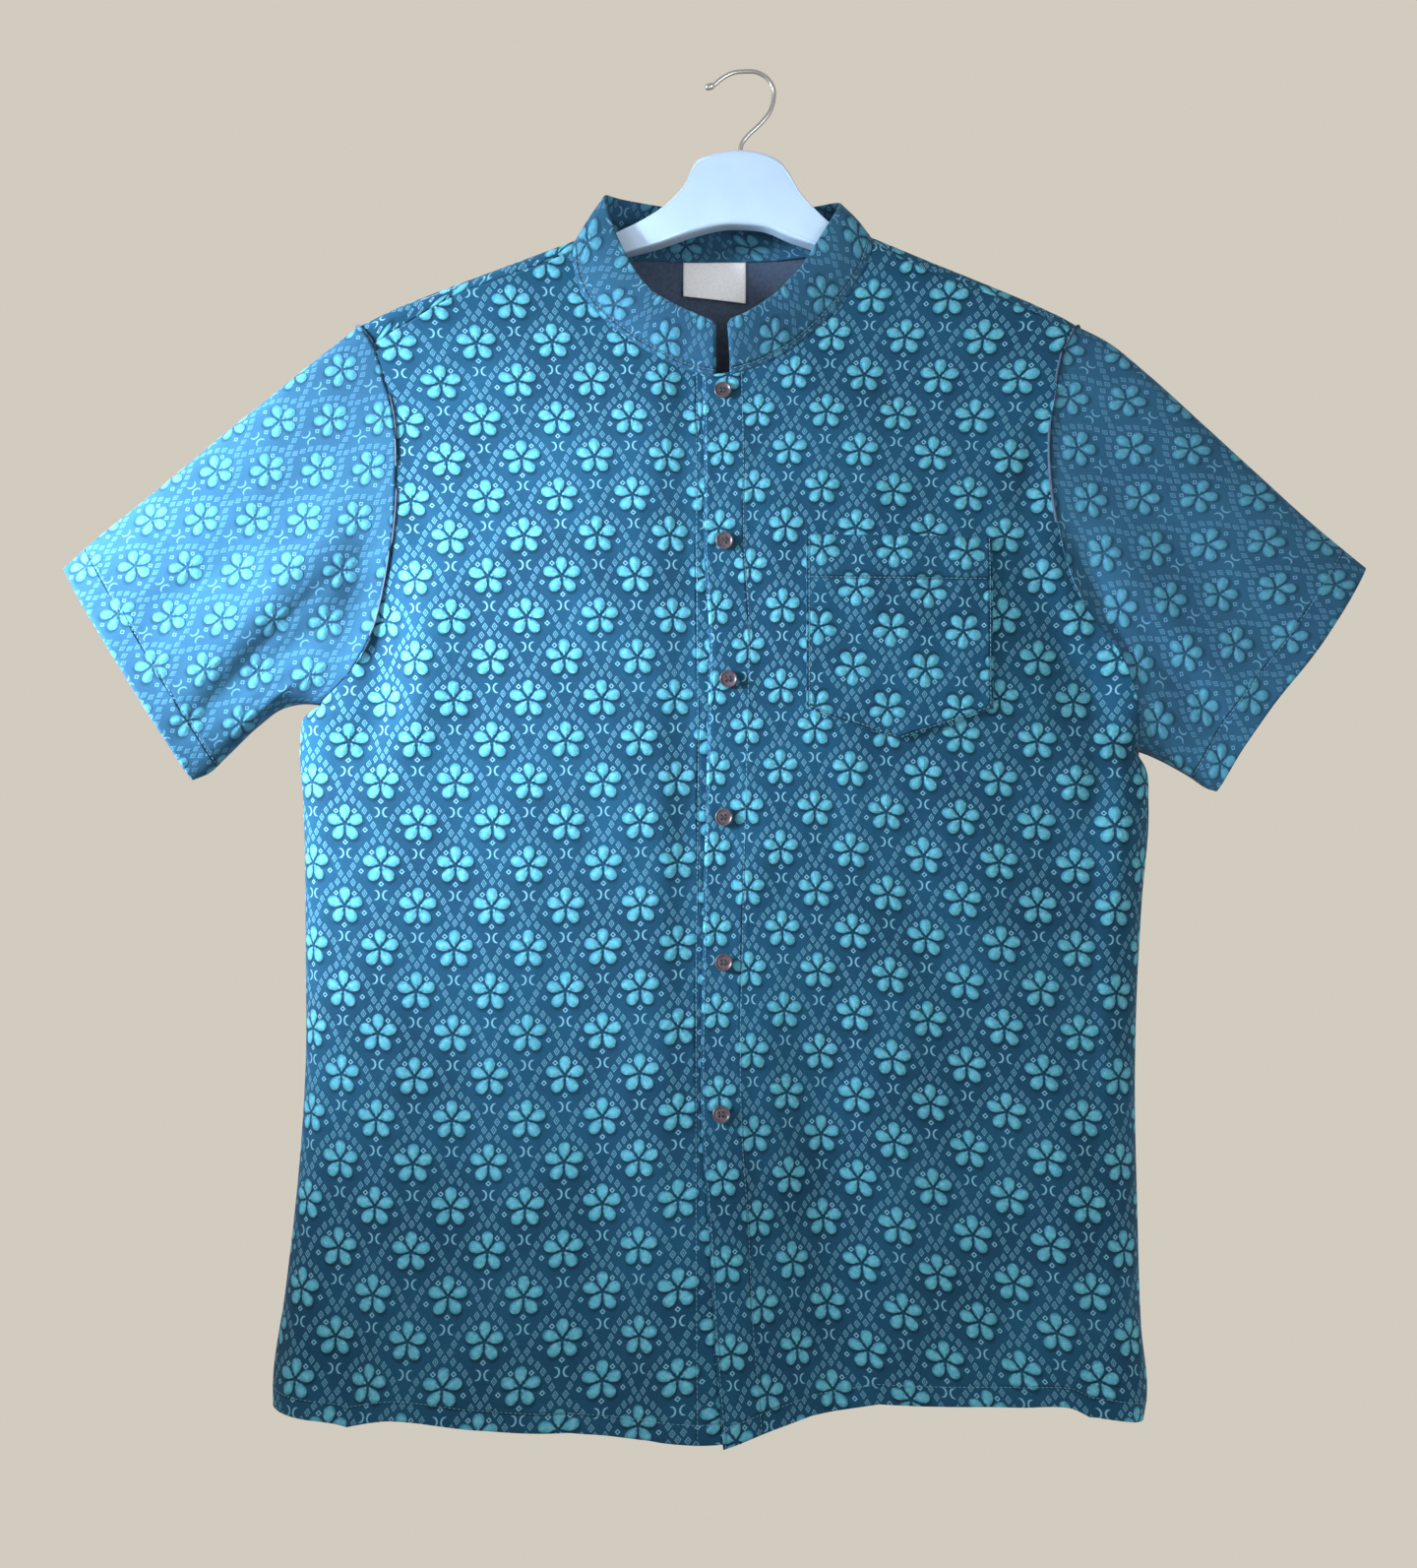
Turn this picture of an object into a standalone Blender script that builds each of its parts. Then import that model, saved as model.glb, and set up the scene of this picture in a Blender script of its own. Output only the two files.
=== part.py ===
# Short sleeved shirt with a mandarin collar, hanging on a plastic hanger.
# Blender units are metres, +Z is up, the shirt's front faces -Y and the
# origin is the inner crest of the hanger's hook. Sizes are in millimetres.
# "Left" and "right" in names are the wearer's: the right front is at -X.

import math

import bpy
import bmesh
import numpy as np

MM = 0.001
SEAM_GAP = 0.3              # between pieces sewn to each other
CLOTH = 1.5                 # wall of the printed cotton
COLLAR_WALL = 1.9           # the stand is two layers

# Cells of the pieces' grids.
NECK_COLUMNS, SHOULDER_COLUMNS, NAPE_COLUMNS = 7, 10, 12
ARMHOLE_ROWS, SIDE_ROWS, TURN_ROWS = 11, 14, 4
SLEEVE_ROWS = 10
STAND_ROWS = 3
POCKET_COLUMNS, POCKET_ROWS = 8, 7
LABEL_COLUMNS, LABEL_ROWS = 4, 3
ROW_EASE = 1.5              # how much closer rows lie at the foot of the armhole

# The cloth turns over the hanger's arms in an arc of this radius.
CREST_RADIUS = 11.0
QUARTER_TURN = CREST_RADIUS * math.pi / 2

# Outline of the shoulders from the right sleeve's head to the left one's.
CREST = dict(
    x=[-256.8, -230.0, -207.4, -111.8, -60.0, -14.0, 40.0, 83.2, 125.5, 154.7, 187.8, 208.7, 221.0],
    z=[-168.4, -155.4, -146.3, -110.5, -100.0, -97.0, -100.0, -108.6, -126.1, -137.8, -151.5, -161.2, -168.4],
)

# How far the cloth stands off in front and behind, by its run from the crest.
DRAPE = dict(
    run=[0, 17, 60, 104, 200, 300, 450, 600, 770],
    front=[0, 0, 4, 11, 34, 38, 42, 46, 52],
    back=[0, 0, 3, 6, 9, 12, 14, 16, 18],
)
MIDDLE_X = -20.0            # line of the buttons
HALF_CHEST = 245.0
SIDE_FLATNESS = 0.62        # share of the drape that is lost at the sides
SIDE_POWER = 2.2            # and how late that sets in
SIDE_TURN = 32.0            # width in which the side turns from front to back
UNDERARM_TURN = 48.0        # height in which the armhole closes at its foot
UNDERARM_WAY = (0.8, -0.6)  # direction of the wall there: sideways, up
LEVEL_SHARE = 0.06          # of the outer edge, until the side seam's wall is level
SLOPE_REACH = 5.0           # either side of a point, for the crest's slope

# Each side's seams, in order from the top down or from the middle out.
SIDES = {
    "right": dict(
        shoulder=[(-111.0, -119.6), (-150.0, -134.2), (-189.5, -148.9), (-218.5, -165.5), (-243.0, -181.0)],
        armhole=[(-243.0, -181.0), (-237.0, -200.0), (-228.5, -235.0), (-227.0, -270.0), (-228.5, -306.0),
                 (-234.5, -340.0), (-245.0, -374.0), (-261.0, -400.0), (-280.0, -417.0)],
        armhole_back=[(-250.0, -192.0), (-242.0, -230.0), (-240.0, -280.0), (-244.0, -330.0),
                      (-256.0, -380.0), (-280.0, -417.0)],
        side=[(-280.0, -417.0), (-290.5, -424.0), (-293.0, -440.0), (-291.0, -484.0), (-289.5, -586.0),
              (-289.5, -650.0), (-294.0, -722.0), (-303.0, -803.0), (-311.0, -862.0), (-311.0, -876.0)],
        neck=[(-5.0, -203.0), (-19.0, -202.4), (-30.4, -200.3), (-56.2, -189.7), (-79.6, -174.0),
              (-92.5, -163.0), (-103.5, -149.5), (-109.5, -134.0), (-111.0, -119.6)],
        front_edge=[(-5.0, -203.0), (-5.0, -300.0), (-4.0, -450.0), (-5.0, -600.0), (-5.0, -740.0), (-4.0, -874.0)],
        hem=[(-4.0, -874.0), (-38.0, -875.0), (-95.0, -877.0), (-170.0, -878.0), (-235.0, -877.0),
             (-280.0, -879.0), (-311.0, -876.0)],
        sleeve_top=[(-256.8, -168.4), (-290.0, -194.4), (-321.0, -219.4), (-350.0, -242.7), (-377.0, -265.5),
                    (-406.0, -289.0), (-435.0, -312.7), (-449.8, -326.3)],
        sleeve_under=[(-280.0, -417.0), (-292.0, -416.5), (-305.0, -419.5), (-321.0, -431.0), (-342.0, -451.0),
                      (-354.0, -462.0), (-364.7, -466.5)],
        cuff=[(-449.8, -326.3), (-426.4, -362.1), (-403.7, -397.8), (-382.9, -433.0), (-364.7, -466.5)],
    ),
    "left": dict(
        shoulder=[(82.4, -112.5), (106.0, -126.0), (129.5, -137.0), (165.6, -150.5), (192.0, -161.0), (215.0, -171.5)],
        armhole=[(215.0, -171.5), (209.0, -183.0), (202.5, -212.0), (198.5, -250.0), (202.0, -298.0),
                 (210.0, -334.0), (226.0, -362.5), (244.0, -387.0), (253.0, -410.0), (257.0, -447.0)],
        armhole_back=[(216.0, -190.0), (209.0, -230.0), (207.0, -285.0), (212.0, -335.0),
                      (228.0, -390.0), (257.0, -447.0)],
        side=[(257.0, -447.0), (264.0, -458.0), (266.0, -482.0), (261.5, -547.0), (258.5, -600.0), (257.0, -665.0),
              (258.5, -747.0), (261.0, -825.0), (264.5, -874.0), (262.5, -886.0)],
        neck=[(-28.0, -205.0), (-20.0, -203.6), (-11.4, -202.4), (-5.0, -200.6), (11.9, -194.6), (32.1, -182.4),
              (52.9, -163.0), (67.5, -145.0), (76.5, -130.0), (82.4, -112.5)],
        front_edge=[(-28.0, -205.0), (-27.0, -255.0), (-26.5, -330.0), (-24.0, -365.0), (-24.8, -440.0),
                    (-27.5, -558.0), (-27.5, -700.0), (-23.5, -749.0), (-20.0, -815.0), (-15.0, -876.0)],
        hem=[(-15.0, -876.0), (8.0, -869.5), (41.0, -863.5), (101.0, -860.5), (176.0, -866.5), (215.0, -872.5),
             (237.5, -879.0), (262.5, -886.0)],
        sleeve_top=[(221.0, -168.4), (239.2, -177.5), (266.5, -199.0), (299.6, -228.8), (337.0, -263.0),
                    (375.7, -298.0), (400.4, -318.5), (410.1, -326.3)],
        sleeve_under=[(257.0, -447.0), (265.2, -449.8), (282.8, -458.3), (294.4, -465.0), (305.0, -472.0),
                      (311.4, -474.0)],
        cuff=[(410.1, -326.3), (393.0, -352.0), (369.2, -385.5), (343.0, -418.0), (324.0, -448.0), (311.4, -474.0)],
    ),
}
# Shares of a front's top that the neck takes, and of its outer edge that the
# armhole takes.
NECK_SHARE = 0.38
ARMHOLE_SHARE = 0.37
CREST_SHARE = 0.028         # and the part of the back's edge before the crest

# The back's neck edge, from one shoulder seam over the crest and round the
# nape to the other: x, and run behind the crest.
NAPE = dict(
    x=[-111.0, -110.0, -105.0, -93.0, -68.0, -40.0, -14.0, 14.0, 40.0, 63.0, 75.0, 80.5, 82.4],
    run=[-15.3, -4.0, 7.0, 15.0, 21.0, 24.5, 26.0, 24.5, 21.0, 15.0, 7.0, -2.0, -9.8],
)
NAPE_BULGE = dict(x=-14.0, run=30.0, width=85.0, height=60.0, depth=9.0, starts=4.0, full=26.0)
BACK_NECK_FROM, BACK_NECK_TO = 0.335, 0.665
BACK_HEM_MIDDLE = [(-38.0, -874.0), (8.0, -872.0)]      # between the fronts' hem points
NECK_END = 0.5              # points nearer to a shoulder seam's end than this are left out
FRONT_EDGE = 6.0            # the stand's ends stop this near to its first upper points

# Upper edge of the stand, from the right front's end round the nape to the
# left front's: share of the seam's length, then the place.
STAND_TOP = dict(
    share=[0.0, 0.075, 0.15, 0.215, 0.285, 0.325, 0.365, 0.41, 0.455, 0.56, 0.66, 0.70, 0.73, 0.77, 0.83,
           0.90, 0.96, 1.0],
    x=[-19.0, -44.0, -61.0, -74.0, -84.0, -90.0, -94.0, -86.0, -58.0, -6.0, 45.0, 64.5, 60.5, 52.5, 37.5,
       20.0, 2.0, -12.0],
    y=[-26.5, -25.5, -23.5, -20.5, -16.5, -13.0, -2.0, 13.0, 21.0, 27.0, 21.0, 4.0, -11.0, -15.5, -19.0,
       -23.5, -27.0, -28.0],
    z=[-171.5, -160.5, -150.5, -134.0, -113.5, -97.0, -80.0, -79.0, -81.5, -87.0, -82.5, -83.5, -94.0, -107.5,
       -132.5, -152.0, -164.5, -170.5],
)

OVERLAP_DEPTH = 2.6         # the under front lies this much further in
OVERLAP_FROM, OVERLAP_TO = -58.0, -36.0

# The over front kicks forward along its edge, more and more towards the hem.
KICK = dict(x=-20.0, reach=78.0, top=-560.0, foot=-876.0, depth=27.0)

# Largest soft folds: ends, half width and depth, plus is a ridge.
FOLDS = dict(
    face=["front", "front", "front", "front", "front", "front", "front", "back", "back", "back", "back", "back"],
    x0=[-200, -185, 190, 205, -250, 40, 205, -195, 150, -120, 60, -235],
    z0=[-300, -360, -330, -420, -500, -560, -650, -320, -330, -470, -520, -600],
    x1=[-262, -255, 232, 238, -235, 55, 215, -250, 215, -140, 70, -245],
    z1=[-425, -500, -450, -560, -800, -850, -860, -440, -450, -860, -850, -860],
    width=[20, 26, 20, 24, 34, 30, 26, 24, 24, 34, 34, 26],
    depth=[-6.0, 4.0, -5.0, 3.5, 3.0, -5.0, 3.5, -5.0, -5.0, 4.0, 4.0, 3.0],
)

FOLD_FADE = 0.62            # share of a fold's length, from its middle to its end
FOLDS_START, FOLDS_FULL = 20.0, 80.0    # run from the crest

CUFF_DEPTH = 21.0           # half the thickness of a sleeve at its open end
CUFF_FULLNESS = 0.6         # lower is fuller towards the edges
CUFF_EASE = 1.3             # how early the sleeve takes the cuff's depth
SLEEVE_FOLDS = dict(
    at=[0.30, 0.55, 0.75], along=[0.25, 0.35, 0.15], width=[0.10, 0.08, 0.07], depth=[-3.0, 2.5, -3.0])
SLEEVE_FOLDS_FROM, SLEEVE_FOLDS_SPAN = 0.1, 0.8     # of half a wave, from armhole to cuff
SLEEVE_FOLD_MIDDLE = 0.4    # where along the sleeve a fold has its given place

POCKET_OUTLINE = dict(left=38.0, right=158.0, top=-310.5, side_foot=-421.0, point_x=97.5, point_z=-441.0)
ON_PANEL_GAP = 0.8          # under the patch pocket, whose facets differ
POCKET_WALL = 1.2

BUTTONS = dict(
    x=[-14.8, -13.9, -11.4, -14.3, -14.5, -16.0],
    z=[-220.0, -314.5, -402.5, -490.0, -581.5, -675.5],
)
BUTTON_RADIUS = 5.6
BUTTON_HEIGHT = 2.4
BUTTON_RIM = 1.2
BUTTON_DISH = 0.7
BUTTON_SIDES = 18
BUTTON_GAP = 0.5
BUTTON_EDGE = 0.4           # rounding of its upper edge
BUTTON_UNDERCUT = 0.6
BUTTON_WAIST = 0.6          # share of its height where the side starts to draw in
BUTTON_REACH = 8.0          # either side of a button, for the lean of the cloth

LABEL = dict(x=-20.0, top=-118.5, width=42.0, height=28.0, wall=0.6, gap=0.8)

# The hanger's upper and lower edge inside the neck; the arms then follow the
# shoulders.
HUB_TOP = dict(
    x=[-120.0, -98.0, -84.5, -65.0, -49.4, -39.7, -33.8, -31.0, -28.5, 19.3, 22.0, 27.9, 35.8, 45.5, 54.0,
       66.0, 76.0, 86.0, 100.0],
    z=[-120.5, -113.5, -106.3, -96.9, -85.8, -74.8, -62.4, -58.6, -57.5, -57.5, -59.0, -65.7, -79.6, -90.7, -98.8,
       -108.0, -114.0, -118.0, -122.5],
)
HUB_FOOT = dict(
    x=[-120.0, -76.0, -57.2, -33.8, -11.1, -1.9, 13.7, 29.3, 43.6, 60.0, 100.0],
    z=[-134.0, -119.5, -114.4, -106.6, -101.7, -101.7, -103.4, -109.9, -114.8, -121.0, -137.0],
)
HUB_MIDDLE = -4.6
ARM_HALF = 8.4
HALF_THICKNESS = dict(off=[0, 60, 78, 118, 140], half=[9.0, 8.6, 7.4, 7.4, ARM_HALF])
ARM_HEIGHT = dict(off=[100.0, 150.0, 205.0], height=[17.0, 15.0, 13.0])
ARM_SEAT = CREST_RADIUS - ARM_HALF      # under the cloth's outer face
ARM_END = dict(right=-217.0, left=200.0)
ARM_STATIONS = 6
ARM_START = 12.0            # from the hub's last station to the arm's first
ARM_CAPS = ((0.86, 3.0), (0.5, 4.9))    # share of the end's section, and how far out
HANGER_SIDES = 16
FOOT_ROUND = 0.45           # rounding of the lower edge, as a share of the upper one's

WIRE = 1.5                  # radius of the hook's wire
TIP = 2.2                   # radius of its rounded tip
HOOK_PATH = dict(
    x=[-26.5, -24.6, -20.8, -16.2, -8.4, 0.0, 8.1, 14.9, 19.0, 18.8, 16.3, 9.8, 1.9, -1.9, -3.2, -3.6],
    z=[-9.0, -8.9, -7.6, -3.9, 0.4, 1.5, 0.9, -3.2, -10.4, -17.9, -25.4, -33.5, -41.0, -46.0, -52.0, -57.2],
)
HOOK_STEPS = 44
TIP_STEPS = 4
FERRULE_RADIUS = 3.4
FERRULE_HEIGHT = 4.0
FERRULE_TAPER = (0.75, 0.6) # share of the radius at its top, and of the height where that starts
TURNED_SIDES = 24

COLORS = {
    "body_cloth": (0.020, 0.065, 0.110),
    "sleeve_cloth": (0.022, 0.070, 0.115),
    "collar_cloth": (0.020, 0.062, 0.105),
    "button": (0.040, 0.036, 0.048),
    "label": (0.80, 0.80, 0.82),
    "hanger": (0.55, 0.66, 0.78),
    "steel": (0.62, 0.62, 0.62),
}


# Materials

def make_material(name, color, roughness, metallic=0.0):
    material = bpy.data.materials.new(name)
    material.use_nodes = True
    shader = material.node_tree.nodes["Principled BSDF"]
    shader.inputs["Base Color"].default_value = (*color, 1.0)
    shader.inputs["Roughness"].default_value = roughness
    shader.inputs["Metallic"].default_value = metallic
    return material


# Curves through tables of points

def spline_through(points, shares):
    points = np.asarray(points, float)
    knots = np.concatenate([[0.0], np.cumsum(np.linalg.norm(np.diff(points, axis=0), axis=1))])
    steps = np.diff(knots)[:, None]
    chords = np.diff(points, axis=0) / steps
    inner = (chords[:-1] * steps[1:] + chords[1:] * steps[:-1]) / (steps[:-1] + steps[1:])
    slopes = np.vstack([chords[:1], inner, chords[-1:]])
    places = np.clip(np.asarray(shares, float), 0.0, 1.0) * knots[-1]
    cell = np.clip(np.searchsorted(knots, places, side="right") - 1, 0, len(steps) - 1)
    width = steps[cell]
    t = (places[:, None] - knots[cell][:, None]) / width
    start, end = points[cell], points[cell + 1]
    rise = (3 * t**2 - 2 * t**3)
    return (start + (end - start) * rise
            + width * slopes[cell] * (t**3 - 2 * t**2 + t)
            + width * slopes[cell + 1] * (t**3 - t**2))


def joined_curve(first, second, break_at, shares):
    shares = np.asarray(shares, float)
    on_first = spline_through(first, shares / break_at)
    on_second = spline_through(second, (shares - break_at) / (1.0 - break_at))
    return np.where(shares[:, None] <= break_at, on_first, on_second)


def filled_patch(top, foot, start, end, across, down):
    u = across[None, :, None]
    v = down[:, None, None]
    corners = ((1 - u) * (1 - v) * top[0] + u * (1 - v) * top[-1]
               + (1 - u) * v * foot[0] + u * v * foot[-1])
    return (1 - u) * start[:, None] + u * end[:, None] + (1 - v) * top[None] + v * foot[None] - corners


# The cloth's form: a place is x and the run of cloth from the crest

def crest_height(x):
    return np.interp(x, CREST["x"], CREST["z"])


def with_run(points):
    points = np.asarray(points, float)
    fall = crest_height(points[:, 0]) - points[:, 1]
    turned = CREST_RADIUS * np.arccos(np.clip(1 - fall / CREST_RADIUS, -1, 1))
    run = np.where(fall < CREST_RADIUS, turned, fall - CREST_RADIUS + QUARTER_TURN)
    return np.stack([points[:, 0], run], axis=1)


def mirrored_run(places):
    return np.asarray(places) * np.array([1.0, -1.0])


def smooth_step(value, low, high):
    t = np.clip((value - low) / (high - low), 0.0, 1.0)
    return t * t * (3 - 2 * t)


def quarter_round(distance, size):
    return np.sqrt(1 - (1 - np.clip(distance / size, 0.0, 1.0)) ** 2)


def fold_depth(x, z, face):
    total = np.zeros_like(x)
    for row in range(len(FOLDS["face"])):
        if FOLDS["face"][row] != face:
            continue
        start = np.array([FOLDS["x0"][row], FOLDS["z0"][row]], float)
        along = np.array([FOLDS["x1"][row], FOLDS["z1"][row]], float) - start
        length = np.linalg.norm(along)
        along /= length
        lengthwise = (x - start[0]) * along[0] + (z - start[1]) * along[1]
        sideways = (x - start[0]) * along[1] - (z - start[1]) * along[0]
        middle = np.clip(1 - ((lengthwise - length / 2) / (length * FOLD_FADE)) ** 2, 0, 1) ** 2
        total += FOLDS["depth"][row] * middle * np.exp(-(sideways / FOLDS["width"][row]) ** 2)
    return total


def cloth_places(places, face, closing=1.0, moved_out=0.0):
    x, run = places[..., 0], places[..., 1]
    turn = np.clip(run / CREST_RADIUS, -math.pi / 2, math.pi / 2)
    fall = CREST_RADIUS * (1 - np.cos(turn)) + np.maximum(np.abs(run) - QUARTER_TURN, 0)
    z = crest_height(x) - fall
    beside = np.clip(np.abs(x - MIDDLE_X) / HALF_CHEST, 0, 1)
    stand_off = np.interp(run, DRAPE["run"], DRAPE[face]) * (1 - SIDE_FLATNESS * beside**SIDE_POWER)
    if face == "back":
        stand_off = stand_off + NAPE_BULGE["depth"] * smooth_step(run, NAPE_BULGE["starts"], NAPE_BULGE["full"]) * np.exp(
            -((x - NAPE_BULGE["x"]) / NAPE_BULGE["width"]) ** 4
            - (np.maximum(run - NAPE_BULGE["run"], 0) / NAPE_BULGE["height"]) ** 2)
    stand_off = stand_off + fold_depth(x, z, face) * smooth_step(run, FOLDS_START, FOLDS_FULL)
    out = (CREST_RADIUS * np.sin(turn) + stand_off) * closing + moved_out
    return np.stack([x, -out if face == "front" else out, z], axis=-1)


def armhole_opening(edge, side):
    # 1 along the armhole, down to 0 at its foot and along the side seam.
    edge_z = crest_height(edge[:, 0]) - (np.abs(edge[:, 1]) - QUARTER_TURN + CREST_RADIUS)
    return quarter_round(edge_z - side["side"][0][1], UNDERARM_TURN)


def closing_by_row(edge, open_share, grid_x):
    beside = quarter_round(np.abs(grid_x - edge[:, :1]), SIDE_TURN)
    return 1 - (1 - beside) * (1 - open_share[:, None])


def outward(normals, face):
    way = -1.0 if face == "front" else 1.0
    middle = normals[normals.shape[0] // 2, normals.shape[1] // 2, 1]
    return normals * (1.0 if middle * way > 0 else -1.0)


def side_normals(side_name, edge, face, open_share, down):
    way = -1.0 if side_name == "right" else 1.0
    along_armhole = armhole_normals(side_name, edge, face, open_share)
    level = np.broadcast_to(np.array([way, 0.0, 0.0]), along_armhole.shape)
    below = smooth_step(down, ARMHOLE_SHARE, ARMHOLE_SHARE + LEVEL_SHARE)[:, None]
    return unit(along_armhole * (1 - below) + level * below)


# Grids of the pieces

def ease_out(count):
    return np.sin(np.linspace(0, math.pi / 2, count + 1))


def ease_both(count):
    return (1 - np.cos(np.linspace(0, math.pi, count + 1))) / 2


def front_cloth(side_name):
    side = SIDES[side_name]
    across, down = front_columns(), front_rows()
    top = joined_curve(with_run(side["neck"]), with_run(side["shoulder"]), NECK_SHARE, across)
    outer = joined_curve(with_run(side["armhole"]), with_run(side["side"]), ARMHOLE_SHARE, down)
    edge = spline_through(with_run(side["front_edge"]), down)
    hem = spline_through(with_run(side["hem"]), across)
    places = filled_patch(top, hem, edge, outer, across, down)
    open_share = armhole_opening(outer, side)
    closing = closing_by_row(outer, open_share, places[..., 0])
    grid = cloth_places(places, "front", closing)
    if side_name == "right":
        grid[..., 1] += OVERLAP_DEPTH * smooth_step(grid[..., 0], OVERLAP_FROM, OVERLAP_TO)
    grid[..., 1] -= kick_depth(grid[..., 0], grid[..., 2])
    normals = outward(grid_normals(grid), "front")
    normals[0] = crest_normals(top, "front")
    normals[:, -1] = side_normals(side_name, outer, "front", open_share, down)
    drawn_back(grid, "top", SEAM_GAP / 2)
    drawn_back(grid, "end", SEAM_GAP / 2)
    return grid, normals


def kick_depth(x, z):
    beside = np.clip(1 - (np.abs(x - KICK["x"]) / KICK["reach"]) ** 2, 0, 1) ** 2
    return KICK["depth"] * beside * smooth_step(-z, -KICK["top"], -KICK["foot"])


# Rows down a panel: closer together towards the foot of the armhole, where
# one row lies, and on the back also over the crest.
def front_rows():
    armhole = ARMHOLE_SHARE * (1 - (1 - np.linspace(0, 1, ARMHOLE_ROWS + 1)) ** ROW_EASE)
    return np.concatenate([armhole, np.linspace(ARMHOLE_SHARE, 1, SIDE_ROWS + 1)[1:]])


def back_rows():
    over = np.linspace(0, CREST_SHARE, TURN_ROWS + 1)
    behind = np.linspace(CREST_SHARE, 2 * CREST_SHARE, TURN_ROWS + 1)[1:]
    eased = 1 - (1 - np.linspace(0, 1, ARMHOLE_ROWS)) ** ROW_EASE
    armhole = 2 * CREST_SHARE + (ARMHOLE_SHARE - 2 * CREST_SHARE) * eased[1:]
    return np.concatenate([over, behind, armhole, np.linspace(ARMHOLE_SHARE, 1, SIDE_ROWS + 1)[1:]])


def back_edge(side, down):
    seam_end = mirrored_run(with_run(side["armhole"][:1]))
    tip = with_run(side["sleeve_top"][:1])
    armhole = np.vstack([tip, with_run(side["armhole_back"])])
    over = seam_end + (tip - seam_end) * (down / CREST_SHARE)[:, None]
    behind = joined_curve(armhole, with_run(side["side"]),
                          (ARMHOLE_SHARE - CREST_SHARE) / (1 - CREST_SHARE),
                          np.maximum(down - CREST_SHARE, 0) / (1 - CREST_SHARE))
    return np.where(down[:, None] <= CREST_SHARE, over, behind)


# The fronts and the back have the same points along the shoulder seams.
def front_columns():
    neck = np.linspace(0, NECK_SHARE, NECK_COLUMNS + 1)
    return np.concatenate([neck, NECK_SHARE + (1 - NECK_SHARE) * ease_out(SHOULDER_COLUMNS)[1:]])


def back_columns():
    shoulder = BACK_NECK_FROM * (1 - ease_out(SHOULDER_COLUMNS)[::-1])
    nape = BACK_NECK_FROM + (BACK_NECK_TO - BACK_NECK_FROM) * ease_both(NAPE_COLUMNS)
    return np.concatenate([shoulder, nape[1:], 1 - shoulder[::-1][1:]])


def back_cloth():
    across, down = back_columns(), back_rows()
    right, left = SIDES["right"], SIDES["left"]
    right_seam = mirrored_run(with_run(right["shoulder"]))[::-1]
    left_seam = mirrored_run(with_run(left["shoulder"]))
    nape = np.stack([NAPE["x"], NAPE["run"]], axis=1)
    nape[0], nape[-1] = right_seam[-1], left_seam[0]
    middle = (across - BACK_NECK_FROM) / (BACK_NECK_TO - BACK_NECK_FROM)
    top = spline_through(nape, middle)
    on_right = across < BACK_NECK_FROM
    on_left = across > BACK_NECK_TO
    top[on_right] = spline_through(right_seam, across[on_right] / BACK_NECK_FROM)
    top[on_left] = spline_through(left_seam, (across[on_left] - BACK_NECK_TO) / (1 - BACK_NECK_TO))
    hem_line = right["hem"][::-1][:-2] + BACK_HEM_MIDDLE + left["hem"][2:]
    hem = spline_through(with_run(hem_line), across)
    start, end = back_edge(right, down), back_edge(left, down)
    places = filled_patch(top, hem, start, end, across, down)
    start_open, end_open = armhole_opening(start, right), armhole_opening(end, left)
    closing = (closing_by_row(start, start_open, places[..., 0])
               * closing_by_row(end, end_open, places[..., 0]))
    grid = cloth_places(places, "back", closing)
    normals = outward(grid_normals(grid), "back")
    normals[0] = crest_normals(top, "back")
    normals[:, 0] = side_normals("right", start, "back", start_open, down)
    normals[:, -1] = side_normals("left", end, "back", end_open, down)
    for edge in ("top", "start", "end"):
        drawn_back(grid, edge, SEAM_GAP / 2)
    return grid, normals


def armhole_line(side_name, face):
    # The places on the body's edges from the crest to the underarm, so that
    # the sleeve's first ring has the same points.
    side = SIDES[side_name]
    behind = back_edge(side, back_rows())
    crest_row, foot_row = TURN_ROWS, 2 * TURN_ROWS + ARMHOLE_ROWS - 1
    if face == "back":
        return behind[crest_row:foot_row + 1]
    over = mirrored_run(behind[:crest_row + 1])[::-1]
    front = joined_curve(with_run(side["armhole"]), with_run(side["side"]), ARMHOLE_SHARE, front_rows())
    return np.vstack([over, front[1:ARMHOLE_ROWS + 1]])


def sleeve_half(side_name, face, out):
    side = SIDES[side_name]
    head = armhole_line(side_name, face)
    open_share = armhole_opening(head, side)
    root = cloth_places(head, face, open_share)
    lengths = np.linalg.norm(np.diff(root[:, [0, 2]], axis=0), axis=1)
    around = np.concatenate([[0.0], np.cumsum(lengths)])
    around /= around[-1]
    top = spline_through(side["sleeve_top"], out)
    under = spline_through(side["sleeve_under"], out)
    cuff = spline_through(side["cuff"], around)
    flat = filled_patch(root[:, [0, 2]], cuff, top, under, around, out)
    way = 1.0 if face == "back" else -1.0
    cuff_y = way * CUFF_DEPTH * np.maximum(np.sin(math.pi * around), 0) ** CUFF_FULLNESS
    blend = (1 - (1 - out) ** CUFF_EASE)[:, None]
    folds = np.zeros((len(out), len(around)))
    for at, along, width, depth in zip(*(SLEEVE_FOLDS[name] for name in ("at", "along", "width", "depth"))):
        place = at + along * (out[:, None] - SLEEVE_FOLD_MIDDLE)
        folds += depth * np.exp(-((around[None] - place) / width) ** 2)
    along_sleeve = np.sin(math.pi * (SLEEVE_FOLDS_FROM + SLEEVE_FOLDS_SPAN * out))
    folds *= np.sin(math.pi * around)[None] * along_sleeve[:, None]
    y = (1 - blend) * root[None, :, 1] + blend * cuff_y[None] + way * folds
    seam_normals = armhole_normals(side_name, head, face, open_share)
    return np.stack([flat[..., 0], y, flat[..., 1]], axis=-1), seam_normals


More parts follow.
